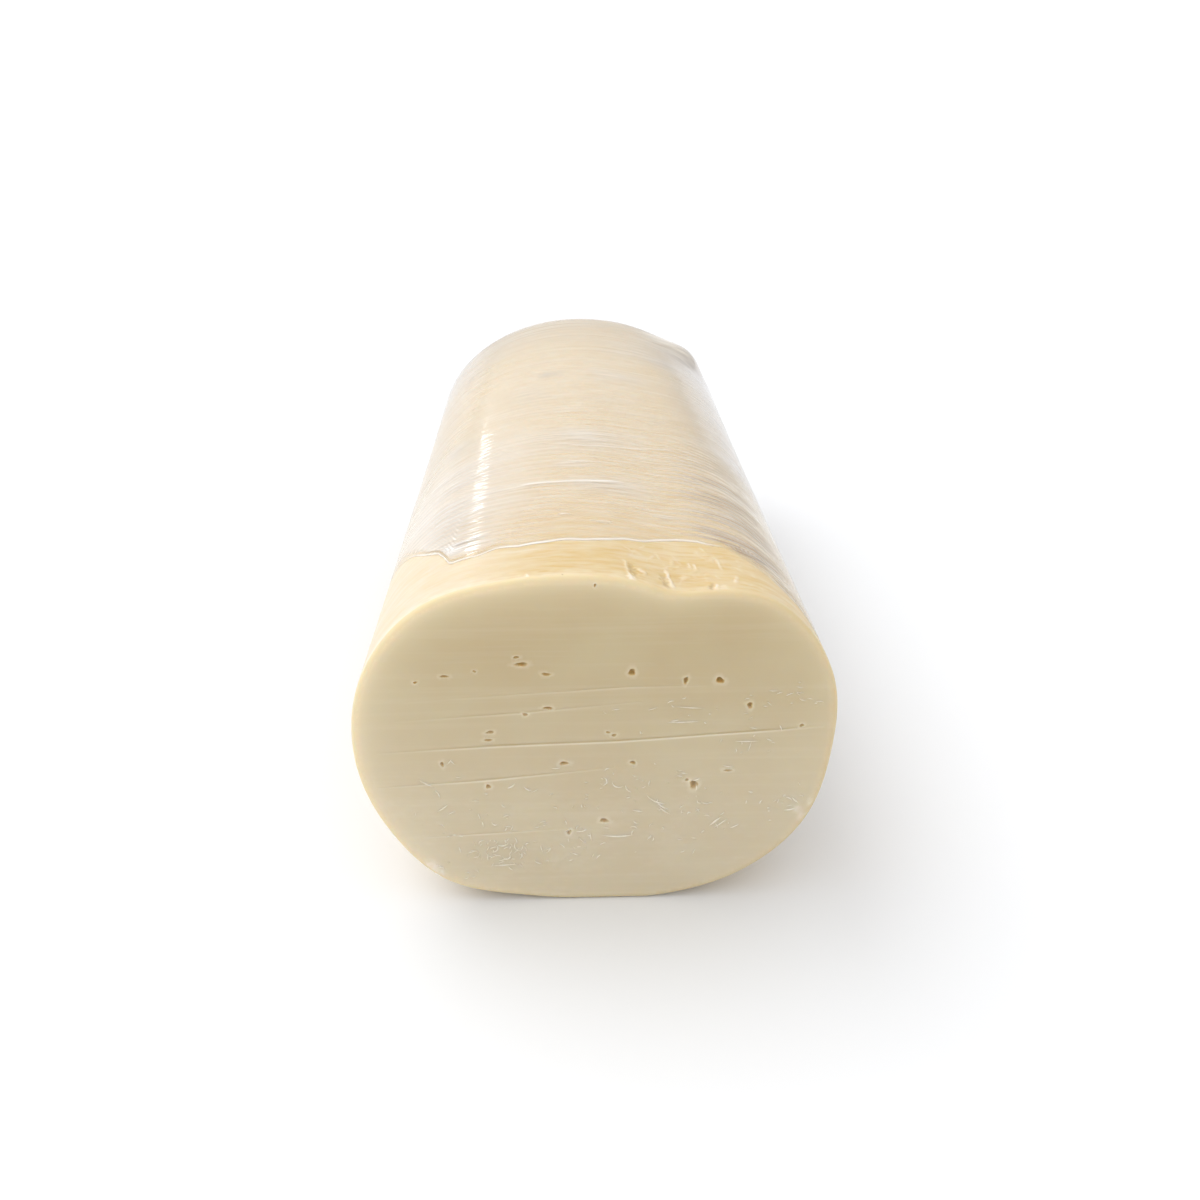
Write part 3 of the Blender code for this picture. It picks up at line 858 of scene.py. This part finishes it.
# %% Larger curls: across, up, length, turn in degrees, bend in degrees, width, all in mm
CURLS = (
    (-51.5, 47.0, 6.5, -28, 40, 0.40), (-48.3, 43.0, 4.0, -70, -60, 0.35),
    (-47.0, 37.5, 5.0, 40, 20, 0.45), (-44.5, 35.5, 3.2, 28, -25, 0.35),
    (-36.0, 34.0, 2.6, -70, 10, 0.35), (-35.0, 31.0, 2.4, -75, 0, 0.35),
    (3.0, 46.5, 4.2, 100, 150, 0.45), (6.5, 45.0, 5.0, -20, 130, 0.40), (10.0, 43.5, 4.0, -50, 80, 0.35),
    (18.5, 39.0, 7.5, -25, 60, 0.45), (20.5, 37.0, 6.0, -38, 45, 0.40), (21.5, 34.8, 5.0, -38, 25, 0.35),
    (13.0, 35.0, 3.5, -8, 20, 0.40), (7.0, 25.3, 10.0, 2, 25, 0.50), (11.6, 26.6, 2.6, 65, -60, 0.40),
    (37.5, 30.5, 5.0, 43, 0, 0.55), (39.5, 29.8, 4.5, 41, 0, 0.45), (43.5, 28.3, 3.2, 28, 15, 0.40),
    (17.0, 24.5, 2.2, 60, 20, 0.45), (-1.5, 25.0, 3.4, -80, 10, 0.35), (-4.0, 23.6, 4.0, -40, 40, 0.35),
    (-29.0, 22.5, 4.0, 20, 100, 0.40), (-31.5, 20.8, 4.5, 70, 160, 0.40),
    (-25.0, 21.5, 4.2, -60, 120, 0.40), (-28.0, 17.6, 4.6, 40, 220, 0.45),
    (-23.5, 18.0, 3.2, 80, 60, 0.35), (-33.5, 18.4, 3.4, -30, 90, 0.35),
    (-17.0, 20.8, 2.8, -75, 20, 0.35), (-14.6, 20.2, 3.2, 60, 30, 0.35), (-6.6, 18.4, 3.6, -25, 15, 0.40),
    (-12.0, 51.8, 3.0, 5, 30, 0.35), (-25.6, 45.4, 3.0, 40, 50, 0.50), (-20.8, 44.2, 3.0, -30, 60, 0.45),
    (46.0, 60.6, 8.0, 0, 5, 0.35), (46.6, 58.6, 4.0, 78, 10, 0.30), (52.4, 61.0, 2.4, -25, 0, 0.35),
    (26.5, 67.8, 10.5, 2, 6, 0.35), (28.0, 73.0, 8.5, -4, 5, 0.35), (17.0, 72.8, 3.2, 20, 20, 0.30),
    (40.6, 51.4, 4.0, -8, 30, 0.35), (-44.0, 54.8, 2.6, 55, 20, 0.30), (-43.0, 54.6, 2.6, -50, 20, 0.30),
    (-28.5, 14.5, 9.0, 4, 8, 0.35), (60.5, 34.5, 4.0, 12, 20, 0.50), (62.0, 38.0, 3.0, -40, 30, 0.50))

# Patches of small ones: across, up, spread across and up, count, turn and its spread in degrees
DUST = (
    (-30, 20, 10, 4, 44, 20, 60), (12, 40, 16, 6, 44, -25, 35), (30, 34, 14, 6, 22, 30, 40),
    (-40, 34, 9, 6, 20, -20, 50), (58, 77, 7, 1.6, 16, 0, 25), (50, 62, 6, 4, 10, -20, 50),
    (60, 36, 5, 5, 14, 20, 50), (-4, 24, 14, 4, 26, 10, 50), (-46, 10, 5, 3, 16, -30, 40),
    (30, 70, 14, 3, 14, 0, 20))
SLIVER_STEPS = 6
SLIVER_HEIGHT = 0.6
SLIVER_SINK = 0.04 * MM
SLIVER_TIP = 0.1
CLEAR_OF_RIM = 3

# The finest real curls are narrower than a pixel of the render, so all are drawn broader, to show
SLIVER_BROADER = 1.25
print(len(CURLS), "curls and", sum(patch[4] for patch in DUST), "flecks")

# %% The shavings' material: thin dry paste, torn, so rougher and paler than the face
SHAVING_PALE = "#F9F2E3"
SHAVING_CREAM = "#EEE4CC"
SHAVING_FLECK = 2 * MM


def make_shaving_material():
    """Thin curls of dry provolone."""
    material, tree = new_material("dry provolone shavings")
    fleck = streaks(tree, add(tree, "TexCoord", out="Object"), (1 / SHAVING_FLECK,) * 3, 2.0)
    colour = lay_colours(tree, SHAVING_PALE, ((fleck, (0.35, 0.65, 0, 1), SHAVING_CREAM),))
    bump = add(tree, "Bump", {"Strength": 0.3, "Distance": 0.1 * MM}, {"Height": fleck})
    shader = add(tree, "BsdfPrincipled", {
        "Roughness": 0.55, "IOR": PASTE_IOR,
    }, {"Base Color": colour, "Normal": bump})
    finish_material(tree, shader)
    return material


shaving_material = make_shaving_material()


# %% Build the shavings
def sliver(across, up, length, turn, bend, width):
    """Points of one curl on the face: rows of three along an arc, sunk at both sides of a ridge."""
    t = np.linspace(0, 1, SLIVER_STEPS + 1)
    heading = np.radians(turn + bend * (t - 0.5))
    step = length * MM / SLIVER_STEPS
    x = np.concatenate([[0], np.cumsum(np.cos(heading[:-1]) * step)])
    z = np.concatenate([[0], np.cumsum(np.sin(heading[:-1]) * step)])
    x += across * MM - x.mean()
    z += up * MM - z.mean()
    half = SLIVER_BROADER * width * MM / 2 * np.maximum(np.sin(math.pi * (0.04 + 0.92 * t)), SLIVER_TIP)
    depth, _, _ = face_relief(x, z)
    side_x, side_z = -np.sin(heading) * half, np.cos(heading) * half
    base = FRONT + depth + SLIVER_SINK
    ridge = FRONT + depth - half * 2 * SLIVER_HEIGHT
    return np.stack([np.stack([x + side_x, base, z + side_z], -1), np.stack([x, ridge, z], -1),
                     np.stack([x - side_x, base, z - side_z], -1)], axis=1)


def make_shavings():
    """All the curls and flecks as one mesh."""
    random = np.random.default_rng(31)
    slivers = [sliver(*curl) for curl in CURLS]
    for across, up, wide, high, count, turn, spread in DUST:
        for _ in range(count):
            x, z = random.normal(across, wide), random.normal(up, high)
            radius = math.hypot(x, z - CUT_CENTRE / MM)
            limit = periodic(CUT_RADII, np.arctan2(z - CUT_CENTRE / MM, x) / TAU) / MM
            length, width = random.uniform(0.7, 2.8), random.uniform(0.2, 0.38)
            angles = (random.normal(turn, spread), random.normal(0, 60))
            if radius < limit - CLEAR_OF_RIM:
                slivers.append(sliver(x, z, length, *angles, width))
    points, faces = [], []
    for rows in slivers:
        start = 3 * len(points) * (SLIVER_STEPS + 1)
        index = start + np.arange(3 * (SLIVER_STEPS + 1)).reshape(-1, 3)
        for here, after in zip(index, index[1:]):
            faces += ring_faces(after, here)
        faces.append(tuple(index[0][::-1].tolist()))
        faces.append(tuple(index[-1].tolist()))
        points.append(rows.reshape(-1, 3))
    return make_piece("face_shavings", np.concatenate(points), faces, shaving_material,
                      smooth_shaded=False)


make_shavings()

# %% [markdown]
# ## The clear film
# Stretch film is wound tightly round the log in several layers. It clings, and the tension pulls it
# into fine wrinkles that run round the log about 4 mm apart. Layers trap air, so the film is hazy in
# streaks, and it is milky where it is seen at a slant. Its front edge has rolled up into a thin white
# cord. A sheet of points is laid on the skin and lifted by waves. Rows are closest near the front,
# where the wrinkles show.

# %% Film: rows, wrinkles and folds
FILM_SPREAD = ((20, 75, 55), (75, 100, 17), (100, 165, 65), (165, 380, 86))
film_angles = np.radians(np.concatenate([
    np.linspace(first, last, count, endpoint=False) for first, last, count in FILM_SPREAD]))
FILM_CLOSE_TO = 150 * MM
FILM_CLOSE_ROWS = 280
FILM_LOOSE_ROWS = 60
FILM_END_ROWS = 34
WRINKLE_PITCH = 4.1 * MM
WRINKLE_HEIGHT = 0.12 * MM
WRINKLE_SLANT = 0.55 * MM / math.radians(1)
LEFT_WRINKLES = 0.35
LEFT_LINES = 0.5
PLEATS = 23
PLEAT_DEPTH = 0.35 * MM
PLEAT_WHITE = 0.22
END_WHITE = 0.15

# The rolled front edge: distance behind the edge and height over the skin in mm, whiteness and tone. The
# grey tone just behind the cord is painted shade.
ROLLED_EDGE = (
    (0.0, -0.15, 0.3, 0.8), (0.1, 0.05, 0.7, 0.8), (0.35, 0.20, 0.85, 0.8), (0.75, 0.24, 0.85, 0.7),
    (1.15, 0.16, 0.6, 0.4), (1.5, 0.05, 0.4, -0.3), (2.1, 0.0, 0.3, -0.5), (2.8, 0.0, 0.15, -0.3))
LIP_FROM = math.radians(52)
LIP_TO = math.radians(134)

# Folds and edges of other layers: points in degrees and mm, then height, whiteness, tone and groove.
# The groove is a dark line of painted shade behind a fold, and the first fold's grey tone is painted
# shade.
FOLDS = (
    (((119, 38.5), (123.5, 37.6), (127.2, 37.1), (131, 36.8), (136, 43.1), (141.5, 49.6), (146.2, 55.6),
      (153.5, 64.6), (160, 71)), 0.10, 0.45, -0.5, 0.2),
    (((80, 76.5), (88, 75), (100, 74), (111, 74.5)), 0.12, 0.35, 0.4, 0),
    (((60, 118), (75, 112), (90, 110), (100, 113)), 0.10, 0.15, 0.3, 0),
    (((38, 30), (43, 31), (48, 32), (52, 33), (57, 34.8), (62, 35.4)), 0.15, 0.1, 0.2, 1.0),
    (((40, 37), (45, 37), (50, 40.3), (56, 45.1), (60, 46.6)), 0.10, 0.0, 0.0, 0.7))

# Milky patches where layers have air between them: degrees, mm, half width in degrees, half length in
# mm, whiteness and tone. The last one, at the foot of the blunt corner, brightens it as painted light
# over its shade.
MILKY = (
    (90, 121, 16, 12, 0.30, -0.25), (94, 92, 7, 4, 0.30, 0.1), (84, 72, 13, 8, 0.28, -0.15),
    (87, 40, 2.6, 1.5, 0.35, -0.3), (98, 46, 1.4, 0.6, 0.5, 0.6), (66.7, 51.5, 3.5, 2, 0.3, -0.3),
    (129.5, 33, 4.0, 4.0, 0.25, 0.5), (123, 31, 5, 4, 0.2, 0.5), (134, 44, 4, 5, 0.2, -0.3),
    (110, 180, 12, 12, 0.15, -0.2), (75, 205, 14, 10, 0.2, -0.2), (60, 250, 16, 14, 0.2, -0.2),
    (136, 139, 6, 9, 0.2, -0.4), (104.5, 207, 5, 5, 0.2, -0.6), (38, 304, 20, 30, 0.34, 0.55))
print(len(film_angles), "points in a ring of film,", len(FOLDS), "folds and", len(MILKY), "milky patches")


# %% Relief of the film
def film_front(angle):
    """The film's front edge with a slight waver."""
    return film_edge(angle) + 0.3 * MM * np.sin(angle * 23) + 0.2 * MM * np.sin(angle * 41 + 1)


# A fold falls off steeply behind and gently in front, over these lengths in mm
FOLD_STEEP = 0.35
FOLD_EASY = 1.2


def fold_relief(angle, along):
    """Height, whiteness, tone and groove from folds and the edges of other layers; the groove is painted
    shade.
    """
    degrees = np.degrees(angle) % 360
    height = np.zeros(np.broadcast(degrees, along).shape)
    white = np.zeros_like(height)
    tone = np.zeros_like(height)
    groove = np.zeros_like(height)
    for points, rise, whiter, toned, deep in FOLDS:
        turns, places = np.array(points, float).T
        ends = smooth(turns[0] - 2, turns[0] + 3, degrees)
        ends = ends * (1 - smooth(turns[-1] - 3, turns[-1] + 2, degrees))
        away = (along - np.interp(degrees, turns, places) * MM) / MM
        slope = np.where(away > 0, FOLD_STEEP, FOLD_EASY)
        height += rise * MM * ends * np.exp(-(away / slope) ** 2)
        line = ends * np.exp(-(away / 0.8) ** 2)
        white += whiter * line
        tone += toned * line
        groove = np.maximum(groove, deep * ends * np.exp(-((away + 0.9) / 0.6) ** 2))
    return height, white, tone, groove


# How much of the veil shows everywhere, then what is added farther back, at the far end and on each side;
# the left shoulder's share is painted light, a brighter veil where the light falls
HAZE_ALL = 0.16
HAZE_BEHIND = 0.12
HAZE_FAR = 0.18
HAZE_CREST = 0.16
HAZE_SHOULDER = 0.17
HAZE_RIGHT = 0.24
HAZE_STREAKY = 0.6

# The film's tone is painted light and shade: brighter on top and on the left shoulder where the light
# falls, greyer in painted shade on the flanks and at the far end
TONE_TOP = 0.45
TONE_SHOULDER = 0.25
GREY_RIGHT = 0.1
GREY_RIGHT_BACK = 0.8
GREY_LEFT_BACK = 0.5
GREY_FAR = 0.2
GREY_CREST = 0.4


def bell(angle, middle, half):
    """A bump with a flat top round a middle, both in degrees."""
    return np.exp(-(angle_from(angle, math.radians(middle)) / math.radians(half)) ** 4)


def film_haze(angle, along, points):
    """How milky the film is without its wrinkles, and its tone of painted light and shade: greyer on both
    flanks and far back.
    """
    degrees = np.degrees(angle) % 360
    right = bell(angle, 4, 46)
    left = bell(angle, 176, 46)
    back = smooth(90 * MM, 140 * MM, along)
    far = smooth(220 * MM, 300 * MM, along)
    crest = smooth(285 * MM, 330 * MM, along)
    shoulder = smooth(94, 122, degrees) * smooth(178, 140, degrees)
    shoulder = shoulder * (1 - smooth(110 * MM, 180 * MM, along))
    haze = HAZE_ALL + HAZE_BEHIND * smooth(20 * MM, 70 * MM, along) + HAZE_FAR * far + HAZE_CREST * crest
    haze = haze + HAZE_SHOULDER * shoulder + HAZE_RIGHT * right
    top = smooth(48, 75, degrees) * smooth(150, 122, degrees) * (1 - smooth(200 * MM, 290 * MM, along))
    tone = TONE_TOP * top + TONE_SHOULDER * shoulder - GREY_RIGHT * right
    tone = tone - (GREY_RIGHT_BACK * right + GREY_LEFT_BACK * left) * back
    tone = tone - GREY_FAR * far - GREY_CREST * crest
    streaky = 1 + HAZE_STREAKY * waves(48, (20 * MM, 2 * MM, 20 * MM), points)
    for turn, place, wide, long, strength, toned in MILKY:
        u = angle_from(angle, math.radians(turn)) / math.radians(wide)
        v = (along - place * MM) / (long * MM)
        patch = np.exp(-(u ** 2 + v ** 2) ** 1.3) * streaky
        haze = haze + strength * patch
        tone = tone + toned * patch
    return haze, tone


def crease_strength(angle, along, patches, left_share):
    """How deep the wrinkles are: deepest on the right shoulder, then on the left, none far back."""
    right = bell(angle, 46, 15) * (1 - smooth(80 * MM, 150 * MM, along))
    left = left_share * bell(angle, 134, 14) * (1 - smooth(100 * MM, 140 * MM, along))
    middle = 0.12 * (1 - smooth(90 * MM, 135 * MM, along))
    return patches * (middle + right + left)


# Between two wrinkles the film bulges, and there it gets a painted highlight: whiter and brighter
BETWEEN_HIGHLIGHT = 0.10
BETWEEN_HIGHLIGHT_TONE = 0.3

# The film's unevenness: heights, seeds and lengths. The first pair moves the wrinkles forward and back
WRINKLE_WANDER = (
    (1.6 * MM, 41, (90 * MM, 60 * MM, 90 * MM)), (0.2 * MM, 47, (40 * MM, 12 * MM, 40 * MM)))
FILM_SWELLS = (
    (0.02 * MM, 43, (30 * MM, 3.5 * MM, 30 * MM)), (0.04 * MM, 44, (50 * MM, 14 * MM, 50 * MM)))
END_SWELLS = ((0.05 * MM, 43, (60 * MM, 4 * MM, 60 * MM)),)
SLANT_TO = math.radians(60)


def film_relief(angle, along, points):
    """Height of the film over the skin, and its marks."""
    slant = WRINKLE_SLANT * np.maximum(SLANT_TO - np.abs(angle_from(angle, 0)), 0)
    wrinkle = (along + slant + relief(WRINKLE_WANDER, points)) / WRINKLE_PITCH
    patches = 0.3 + 0.7 * smooth(-1.1, 0.6, waves(42, (50 * MM, 16 * MM, 50 * MM), points))
    strength = crease_strength(angle, along, patches, LEFT_WRINKLES)
    shallow = 0.2 * (1 - smooth(110 * MM, 150 * MM, along))
    height = -WRINKLE_HEIGHT * (shallow + strength) * np.cos(TAU * wrinkle)
    height += relief(FILM_SWELLS, points)
    folds, white, tone, groove = fold_relief(angle, along)
    haze, haze_tone = film_haze(angle, along, points)
    tone = np.clip(tone + haze_tone, -1, 1)
    crease = crease_strength(angle, along, patches, LEFT_LINES)
    white = white + haze + BETWEEN_HIGHLIGHT * crease
    return height + folds, (white, tone + BETWEEN_HIGHLIGHT_TONE * crease, crease, wrinkle, groove)


# %% Build the film
def film_rows():
    """Rings of the film from its rolled edge to the back end, each with its marks."""
    rows, marks = [], []
    plain = np.zeros(len(film_angles))
    edge = film_front(film_angles)
    waver = 0.75 + 0.25 * np.sin(film_angles * 13) * np.sin(film_angles * 5 + 1)
    lip = smooth(LIP_FROM, LIP_FROM + 0.15, film_angles % TAU) * (
        1 - smooth(LIP_TO, LIP_TO + 0.3, film_angles % TAU))
    for back, up, whiteness, toned in ROLLED_EDGE:
        along = edge + back * MM
        base = skin(film_angles, along)
        lift = up * MM * waver * (0.2 + 0.8 * lip)
        rows.append(settle(base + outward(film_angles, along) * lift[:, None]))
        haze, tone = film_haze(film_angles, along, base)
        white = np.maximum(whiteness * (0.5 + 0.5 * waver) * lip, 0.3 * haze)
        marks.append((white, tone + (toned - tone) * lip, plain, along / WRINKLE_PITCH, plain))
    start = edge + ROLLED_EDGE[-1][0] * MM
    for i in range(1, FILM_CLOSE_ROWS + FILM_LOOSE_ROWS + 1):
        if i <= FILM_CLOSE_ROWS:
            along = start + (FILM_CLOSE_TO - start) * i / FILM_CLOSE_ROWS
        else:
            along = np.full(len(film_angles), FILM_CLOSE_TO
                            + (BODY_LENGTH - FILM_CLOSE_TO) * (i - FILM_CLOSE_ROWS) / FILM_LOOSE_ROWS)
        base = skin(film_angles, along)
        height, (white, tone, strength, wrinkle, groove) = film_relief(film_angles, along, base)
        easing = smooth(0, 1.5 * MM, along - start)
        white *= 0.4 + 0.6 * smooth(0, 2 * MM + 6 * MM * (1 - lip), along - start)
        rows.append(settle(base + outward(film_angles, along) * (height * easing)[:, None]))
        marks.append((white, tone, strength * easing, wrinkle, groove * easing))
    for i in range(1, FILM_END_ROWS + 1):
        dome = END_LAST * i / FILM_END_ROWS
        base = skin(film_angles, BODY_LENGTH, dome)
        bunch = film_angles * PLEATS + 1.1 * waves(45, (60 * MM, 60 * MM, 60 * MM), base)
        depth = 0.6 + 0.4 * np.sin(film_angles * 5 + 1) * np.sin(film_angles * 8)
        pleat = depth * (np.abs(np.sin(bunch / 2)) ** 0.6 - 1)
        height = PLEAT_DEPTH * pleat * smooth(0.2 + 0.3 * depth, 1.2, dome)
        height += relief(END_SWELLS, base) * (1 - smooth(0, 0.6, dome))
        rows.append(settle(base + outward(film_angles, BODY_LENGTH, dome) * height[:, None]))
        haze, tone = film_haze(film_angles, BODY_LENGTH, base)
        white = haze + PLEAT_WHITE * smooth(0.2, 0.9, -pleat) * smooth(0.3, 1.2, dome)
        white = white + END_WHITE * smooth(0.9, 1.5, dome)
        marks.append((white, tone, plain, plain + BODY_LENGTH / WRINKLE_PITCH, plain))
    return rows, [np.concatenate(values) for values in zip(*marks)]


# %% [markdown]
# ## The film's material: clear polyethylene stretch film, wound in layers
# One layer is nearly invisible. Several layers with air between them scatter light, so this film is a
# thin white veil over the cheese: alpha says how much of the veil shows. It is stronger in streaks, on
# the rolled edge and folds, and where the surface turns away from the eye, as a stack of layers really
# is. The veil itself is a smooth plastic with an IOR of 1.5, so it also gives the small sharp
# highlights along the wrinkles.

# %% Stretch film
# The bright and grey film colours, laid by the tone mark, are painted light and shade
FILM_WHITE = "#E6DCCB"
FILM_BRIGHT = "#FBF8F4"
FILM_GREY = "#C0B9B4"
# Painted shade: the dark gold of the lines in the wrinkles' troughs and behind folds
FILM_CREASE_SHADE = "#93703F"
FILM_IOR = 1.5
FILM_ROUGHNESS = 0.10
FILM_MARKS = ("white", "tone", "crease", "wrinkle", "groove")

# Several layers reflect more than one, so this is above the usual half
FILM_LAYERS_SHINE = 0.9
VEIL_STREAK = 0.22
VEIL_SLANT = 0.50
VEIL_CREASE = 0.80
LINE_WIDTH = 0.20
WRINKLE_BUMP = 0.25 * MM
VEIL_FINE = (1 / (70 * MM), 1 / (1.5 * MM), 1 / (70 * MM))
VEIL_BROAD = (1 / (55 * MM), 1 / (16 * MM), 1 / (55 * MM))


def make_film_material():
    """Layers of clear stretch film."""
    material, tree = new_material("clear polyethylene stretch film")
    place = add(tree, "TexCoord", out="Object")
    kept = {name: add(tree, "Attribute", {"attribute_name": name}, out="Fac") for name in FILM_MARKS}
    fine = add(tree, "MapRange", dict(zip(RANGE, (0.36, 0.72, 0, 1))), {
        "Value": streaks(tree, place, VEIL_FINE)})
    broad = add(tree, "MapRange", dict(zip(RANGE, (0.34, 0.68, 0, 1))), {
        "Value": streaks(tree, place, VEIL_BROAD, 2.0)})
    veil = add(tree, "Math", {"operation": "MULTIPLY"}, {0: fine, 1: broad})
    streaked = dict(zip(RANGE, (0, 1, 1 - VEIL_STREAK, 1 + VEIL_STREAK)))
    veil = add(tree, "MapRange", streaked, {"Value": veil})
    veil = add(tree, "Math", {"operation": "MULTIPLY"}, {0: veil, 1: kept["white"]})
    slant = add(tree, "LayerWeight", {"Blend": 0.5}, out="Facing")
    slant = add(tree, "MapRange", dict(zip(RANGE, (0.55, 1.0, 0, VEIL_SLANT))), {"Value": slant})
    veil = add(tree, "Math", {"operation": "ADD"}, {0: veil, 1: slant})

    # Dark lines of painted shade in each wrinkle's trough and in the grooves behind folds: there the veil
    # turns dark gold and more opaque
    ridge = add(tree, "Math", {"operation": "PINGPONG", 1: 0.5}, {0: kept["wrinkle"]})
    line = add(tree, "MapRange", dict(zip(RANGE, (0, LINE_WIDTH, 1, 0))), {"Value": ridge})
    line = add(tree, "Math", {"operation": "MULTIPLY"}, {0: line, 1: kept["crease"]})
    line = add(tree, "Math", {"operation": "MAXIMUM"}, {0: line, 1: kept["groove"]})
    veil = add(tree, "Math", {"operation": "MULTIPLY_ADD", "use_clamp": True, 1: VEIL_CREASE},
               {0: line, 2: veil})

    colour = lay_colours(tree, FILM_WHITE, (
        (kept["tone"], (0, 1, 0, 1), FILM_BRIGHT), (kept["tone"], (0, -1, 0, 1), FILM_GREY),
        (line, None, FILM_CREASE_SHADE)))
    height = add(tree, "Math", {"operation": "MULTIPLY"}, {0: ridge, 1: kept["crease"]})
    bump = add(tree, "Bump", {"Strength": 0.5, "Distance": WRINKLE_BUMP}, {"Height": height})
    bump = add(tree, "Bump", {"Strength": 0.2, "Distance": 0.1 * MM}, {"Height": fine, "Normal": bump})
    shader = add(tree, "BsdfPrincipled", {
        "Roughness": FILM_ROUGHNESS, "IOR": FILM_IOR, "Specular IOR Level": FILM_LAYERS_SHINE,
    }, {"Base Color": colour, "Alpha": veil, "Normal": bump})
    finish_material(tree, shader)
    return material


def make_film():
    """The film as one sheet, closed over the back end."""
    rows, values = film_rows()
    count = len(film_angles)
    points = np.concatenate(rows)
    index = np.arange(len(points)).reshape(-1, count)
    faces = tube_faces(index) + tip_faces(index[-1], len(points))
    points = np.concatenate([points, [[0, LENGTH / 2 - PLEAT_DEPTH, BACK_CENTRE]]])
    marks = {name: np.append(kept, kept[-1]) for name, kept in zip(FILM_MARKS, values)}
    return make_piece("stretch_film", points, faces, make_film_material(), "film_wrap",
                      marks)


make_film()

# %% [markdown]
# ## Floor and light
# The log lies on a white sweep in a light tent that is brightest high on the left and darker low on
# the right. One large soft source high on the left and behind adds the soft shadow on the right of the
# floor. A narrow strip far behind draws the thin bright line that runs along the film's upper left.

# %% White sweep
FLOOR_WHITE = "#F3F4F6"
FLOOR_SIZE = 60.0
FLOOR_DROP = 0.2 * MM
FLOOR_GRAIN = 2.5 * MM
floor_material, floor_tree = new_material("matt white sweep")
floor_grain = streaks(floor_tree, add(floor_tree, "TexCoord", out="Object"), (1 / FLOOR_GRAIN,) * 3, 2.0)
floor_bump = add(floor_tree, "Bump", {"Strength": 0.02, "Distance": 0.1 * MM}, {"Height": floor_grain})
finish_material(floor_tree, add(floor_tree, "BsdfPrincipled", {
    "Roughness": 0.9, "Base Color": linear(FLOOR_WHITE), "Specular IOR Level": 0.2,
}, {"Normal": floor_bump}))
floor_mesh = bpy.data.meshes.new("floor")
half = FLOOR_SIZE / 2
corners = [(-half, -half, 0), (half, -half, 0), (half, half, 0), (-half, half, 0)]
floor_mesh.from_pydata(corners, [], [(0, 1, 2, 3)])
floor_mesh.materials.append(floor_material)
floor = bpy.data.objects.new("floor", floor_mesh)
floor.location.z = -FLOOR_DROP
scene.collection.objects.link(floor)
print("floor is %.0f m across" % FLOOR_SIZE)

# %% Lights
TENT_BRIGHTEST = Vector((-0.38, 0.08, 0.95))
TENT_LOW = 0.22
TENT_HIGH = 1.17
KEY_STRENGTH = 0.9
KEY_SOFTNESS = math.radians(45)
KEY_FROM = Vector((-0.60, 0.45, 1.00))
STRIP_POWER = 0.26
STRIP_PLACE = Vector((-0.44, 1.30, 0.44))
STRIP_SIZE = (0.012, 0.22)

world = bpy.data.worlds.new("light tent")
world.use_nodes = True
tent = world.node_tree
direction = add(tent, "TexCoord", out="Generated")
towards = add(tent, "VectorMath", {"operation": "DOT_PRODUCT", 1: TENT_BRIGHTEST.normalized()},
              {0: direction}, "Value")
brightness = add(tent, "MapRange", dict(zip(RANGE, (-1, 1, TENT_LOW, TENT_HIGH))), {"Value": towards})
tent.nodes["Background"].inputs["Color"].default_value = (1, 1, 1, 1)
tent.links.new(brightness, tent.nodes["Background"].inputs["Strength"])
scene.world = world

key = bpy.data.objects.new("key", bpy.data.lights.new("key", "SUN"))
key.data.energy = KEY_STRENGTH
key.data.angle = KEY_SOFTNESS
key.rotation_euler = (-KEY_FROM).to_track_quat("-Z", "Y").to_euler()
scene.collection.objects.link(key)

strip = bpy.data.objects.new("strip", bpy.data.lights.new("strip", "AREA"))
strip.data.shape = "RECTANGLE"
strip.data.size, strip.data.size_y = STRIP_SIZE
strip.data.energy = STRIP_POWER
strip.location = STRIP_PLACE
strip.rotation_euler = (-STRIP_PLACE).to_track_quat("-Z", "Y").to_euler()
strip.visible_camera = False
scene.collection.objects.link(strip)
scene.view_settings.view_transform = "Standard"
